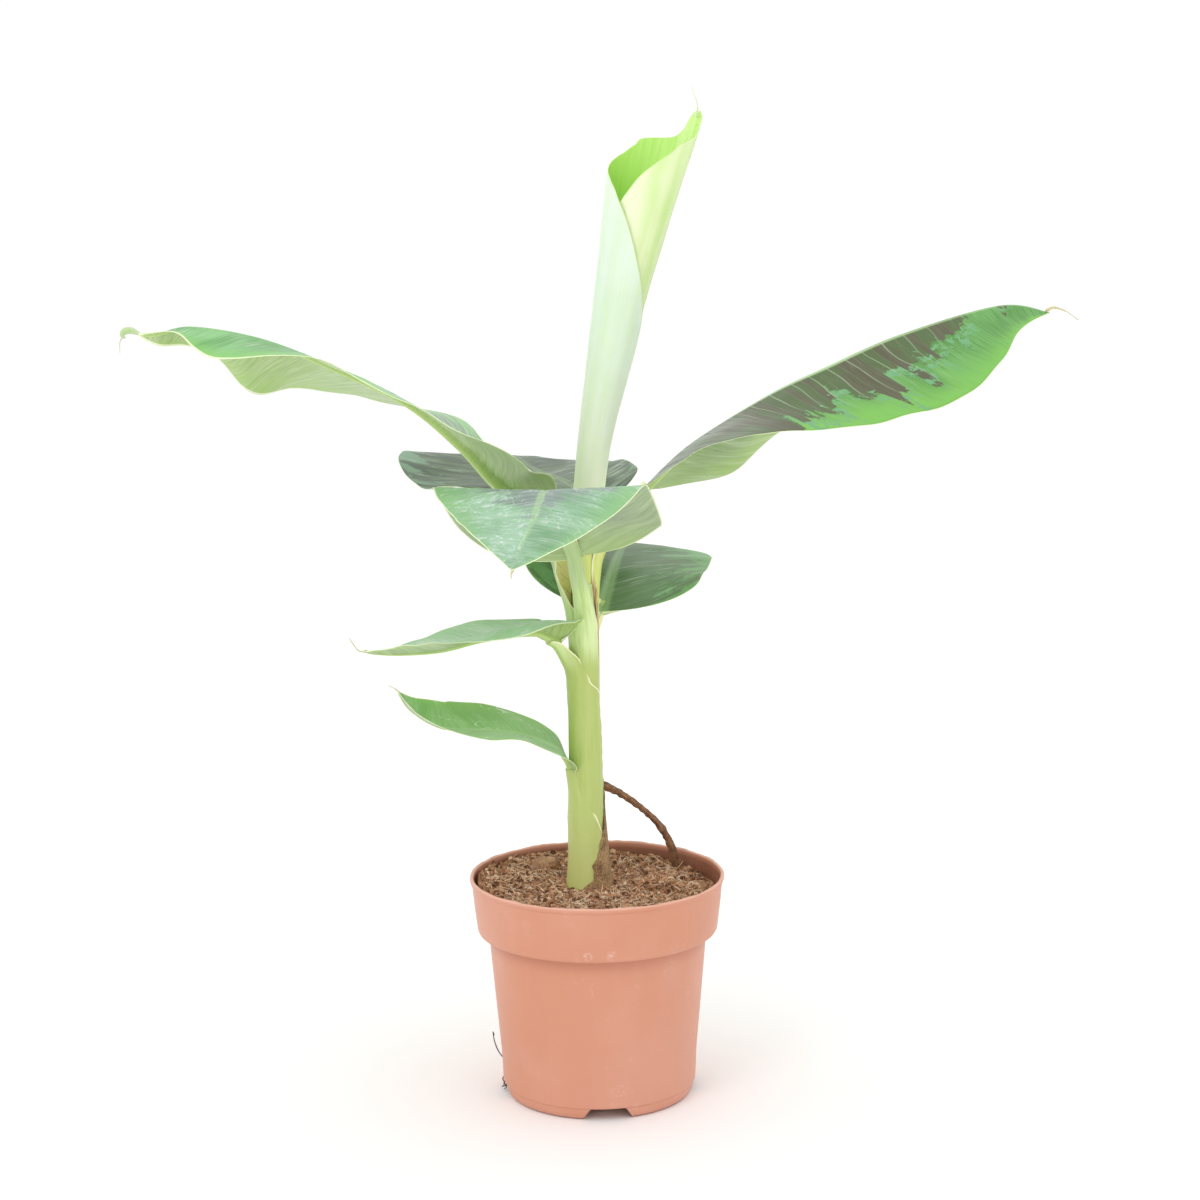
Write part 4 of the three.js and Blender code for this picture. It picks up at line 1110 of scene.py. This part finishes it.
def makeFibres(material):
    draw = np.random.default_rng(soil["seed"] + 1)
    x, y = scatter(draw, soil["fibres"] + soil["straws"], 95)
    points, faces, tones = [], [], []
    rows, sides = soil["strandRows"], soil["strandSides"]
    pattern = gridFaces(rows, sides, wrap=True)
    foot = list(reversed(range(sides)))
    tip = [(rows - 1) * sides + k for k in range(sides)]
    start = 0
    for k in range(len(x)):
        coarse = k >= soil["fibres"]
        length = draw.uniform(6, 19) if coarse else draw.uniform(3, 13)
        standing = draw.uniform() < 0.05
        rise = draw.uniform(0.5, 0.9) if standing else draw.uniform(-0.05, 0.28)
        thick = draw.uniform(0.4, 0.85) if coarse else draw.uniform(0.18, 0.46)
        heading = draw.uniform(0, math.tau)
        z = soilHeight(x[k:k + 1], y[k:k + 1])[0]
        ring, at = strand(draw, (x[k], y[k], z + 0.6), heading, length, thick, rise,
                          draw.uniform(-2.2, 2.2), rows - 1, sides)
        reach = np.hypot(at[:, 0], at[:, 1])
        if reach.max() > 98 or np.hypot(at[:, 0] - soil["stemX"], at[:, 1]).min() < 18:
            continue
        if not standing:                    # lying strands follow the bed
            bed = soilHeight(at[:, 0], at[:, 1])
            lower = np.maximum(bed + 0.3, at[:, 2] * 0.35 + bed * 0.65) - at[:, 2]
            ring[:, 2] += np.repeat(lower, sides)
        points.append(ring)
        faces += (pattern + start).tolist() + [[start + n for n in foot], [start + n for n in tip]]
        tones.append(np.full(rows * sides, draw.uniform(0.45, 1.15) if coarse else draw.uniform(0.2, 1.05)))
        start += rows * sides
    newPiece("soilFibres", np.concatenate(points), faces, material, "fibre_soil",
             attributes=dict(tone=np.concatenate(tones)))


makeSoilBed(soilMaterial("soilBedEarth"))
makeCrumbs(soilMaterial("soilCrumbEarth"))
makeFibres(soilMaterial("soilFibreStraw", 0.8))
print("soil")


# Dry threads at the leaf tips, and rootlets caught on the pot.
tipCurl = dict(
    path=[[-360, -10, 638], [-366, -10, 640.5], [-371, -10.5, 640], [-373, -11, 637], [-371, -11, 634.5]],
    radius=[1.5, 2.6, 3.0, 2.4, 1.0])
threads = [
    dict(path=leafShapes["rightLeaf"]["tail"], radius=[1.4, 0.8, 0.4, 0.25]),
    dict(path=[[-371.5, -11, 636], [-375, -11, 632], [-375.5, -11, 622]], radius=[0.5, 0.35, 0.2]),
    dict(path=leafShapes["frontLeaf"]["tail"], radius=[1.2, 0.7, 0.3]),
    dict(path=leafShapes["midLeftLeaf"]["tail"], radius=[0.9, 0.5, 0.3]),
    dict(path=leafShapes["lowLeftLeaf"]["tail"], radius=[0.8, 0.45, 0.25]),
]
rootlets = [
    dict(path=[[-89, -4, 51], [-87.5, -5, 42], [-84.5, -5, 34], [-80.5, -5, 28]],
         radius=[0.3, 0.45, 0.5, 0.4]),
    dict(path=[[-89, -4, 51], [-88, -4.5, 48.5], [-88.6, -5, 46]], radius=[0.25, 0.35, 0.25]),
    dict(path=[[-79.5, -2, 12], [-81.5, -3, 9], [-80, -3, 5.5], [-82, -2, 1.5]], radius=[0.3, 0.5, 0.4, 0.3]),
    dict(path=[[-78, -5, 9], [-80.5, -5, 6], [-78, -6, 4], [-80, -7, 1]], radius=[0.3, 0.5, 0.5, 0.3]),
    dict(path=[[-76, -4, 6], [-79, -4, 3.4], [-82.5, -4, 2.6]], radius=[0.4, 0.6, 0.3]),
]
newPiece("leafTipThreads", *joined([tube(d["path"], d["radius"], 10, 24) for d in threads]),
         dryMaterial("leafTipThreads", colour(188, 174, 128), colour(226, 220, 172)), "dry_tissue")
newPiece("rolledLeafThread", *tube(rolledLeaf["tail"], [0.9, 0.55, 0.35, 0.2], 10, 24),
         dryMaterial("rolledLeafThread", colour(226, 232, 190), colour(244, 246, 218)), "dry_tissue")
points, faces = tube(tipCurl["path"], tipCurl["radius"], 14, 30)
x, y, z = points.T
newPiece("leafTipCurl", points, faces, stalkMaterial("leafTipCurl", 0.0, 8.0), "petiole_green",
         attributes=dict(across=y, lengthwise=x, fromEdge=farIn + 0 * x, height=z, inner=0 * x))
newPiece("rootlets", *joined([tube(d["path"], d["radius"], 8, 28) for d in rootlets]),
         dryMaterial("rootlets", colour(62, 52, 44), colour(112, 92, 74)), "fibre_soil")
print("threads")


studio = dict(                              # metres
    lens=78, sensor=36, place=(0, -2.0907, 0.7777),
    pitch=9.812, pan=0.143, roll=0.690,     # degrees: down, to the right, clockwise
    world=1.04, floor=0.985, aim=(0, 0, 0.4),
    lights=dict(                            # place, size and power
        keySoftbox=((-1.4, -2.2, 2.6), 1.4, 15),
        fillSoftbox=((1.9, -1.8, 1.6), 1.6, 2.5),
        topSoftbox=((0.1, 0.4, 2.9), 1.8, 6)),
)


def makeCamera():
    pitch, pan, roll = (math.radians(studio[k]) for k in ("pitch", "pan", "roll"))
    forward = Vector((math.sin(pan) * math.cos(pitch), math.cos(pan) * math.cos(pitch), -math.sin(pitch)))
    right = forward.cross(Vector((0, 0, 1))).normalized()
    top = right.cross(forward)
    c, s = math.cos(roll), math.sin(roll)
    turn = Matrix((right * c - top * s, top * c + right * s, -forward)).transposed().to_4x4()
    data = bpy.data.cameras.new("camera")
    data.lens, data.sensor_width = studio["lens"], studio["sensor"]
    data.clip_start, data.clip_end = 0.05, 50
    camera = addObject("camera", data)
    camera.matrix_world = Matrix.Translation(studio["place"]) @ turn
    bpy.context.scene.camera = camera


def makeLight(name, place, size, power):
    data = bpy.data.lights.new(name, "AREA")
    data.shape, data.size, data.energy = "DISK", size, power
    lamp = addObject(name, data)
    lamp.location = place
    lamp.rotation_mode = "QUATERNION"
    lamp.rotation_quaternion = (Vector(studio["aim"]) - Vector(place)).to_track_quat("-Z", "Y")


def makeStudio():
    mesh = bpy.data.meshes.new("floor")
    mesh.from_pydata([(-12, -12, 0), (12, -12, 0), (12, 12, 0), (-12, 12, 0)], [], [(0, 1, 2, 3)])
    w = Wiring("floorPaper", roughness=0.9, specular=0.0)
    mesh.materials.append(w.finish((studio["floor"],) * 3 + (1,)))
    floor = addObject("floor", mesh)
    floor.location.z = -0.5 * mm
    world = bpy.data.worlds.new("paleRoom")
    world.use_nodes = True
    sky = world.node_tree.nodes["Background"]
    sky.inputs["Color"].default_value = (1, 1, 1, 1)
    sky.inputs["Strength"].default_value = studio["world"]
    bpy.context.scene.world = world
    for name, settings in studio["lights"].items():
        makeLight(name, *settings)
    bpy.context.scene.view_settings.view_transform = "Standard"


makeCamera()
makeStudio()
print("studio")
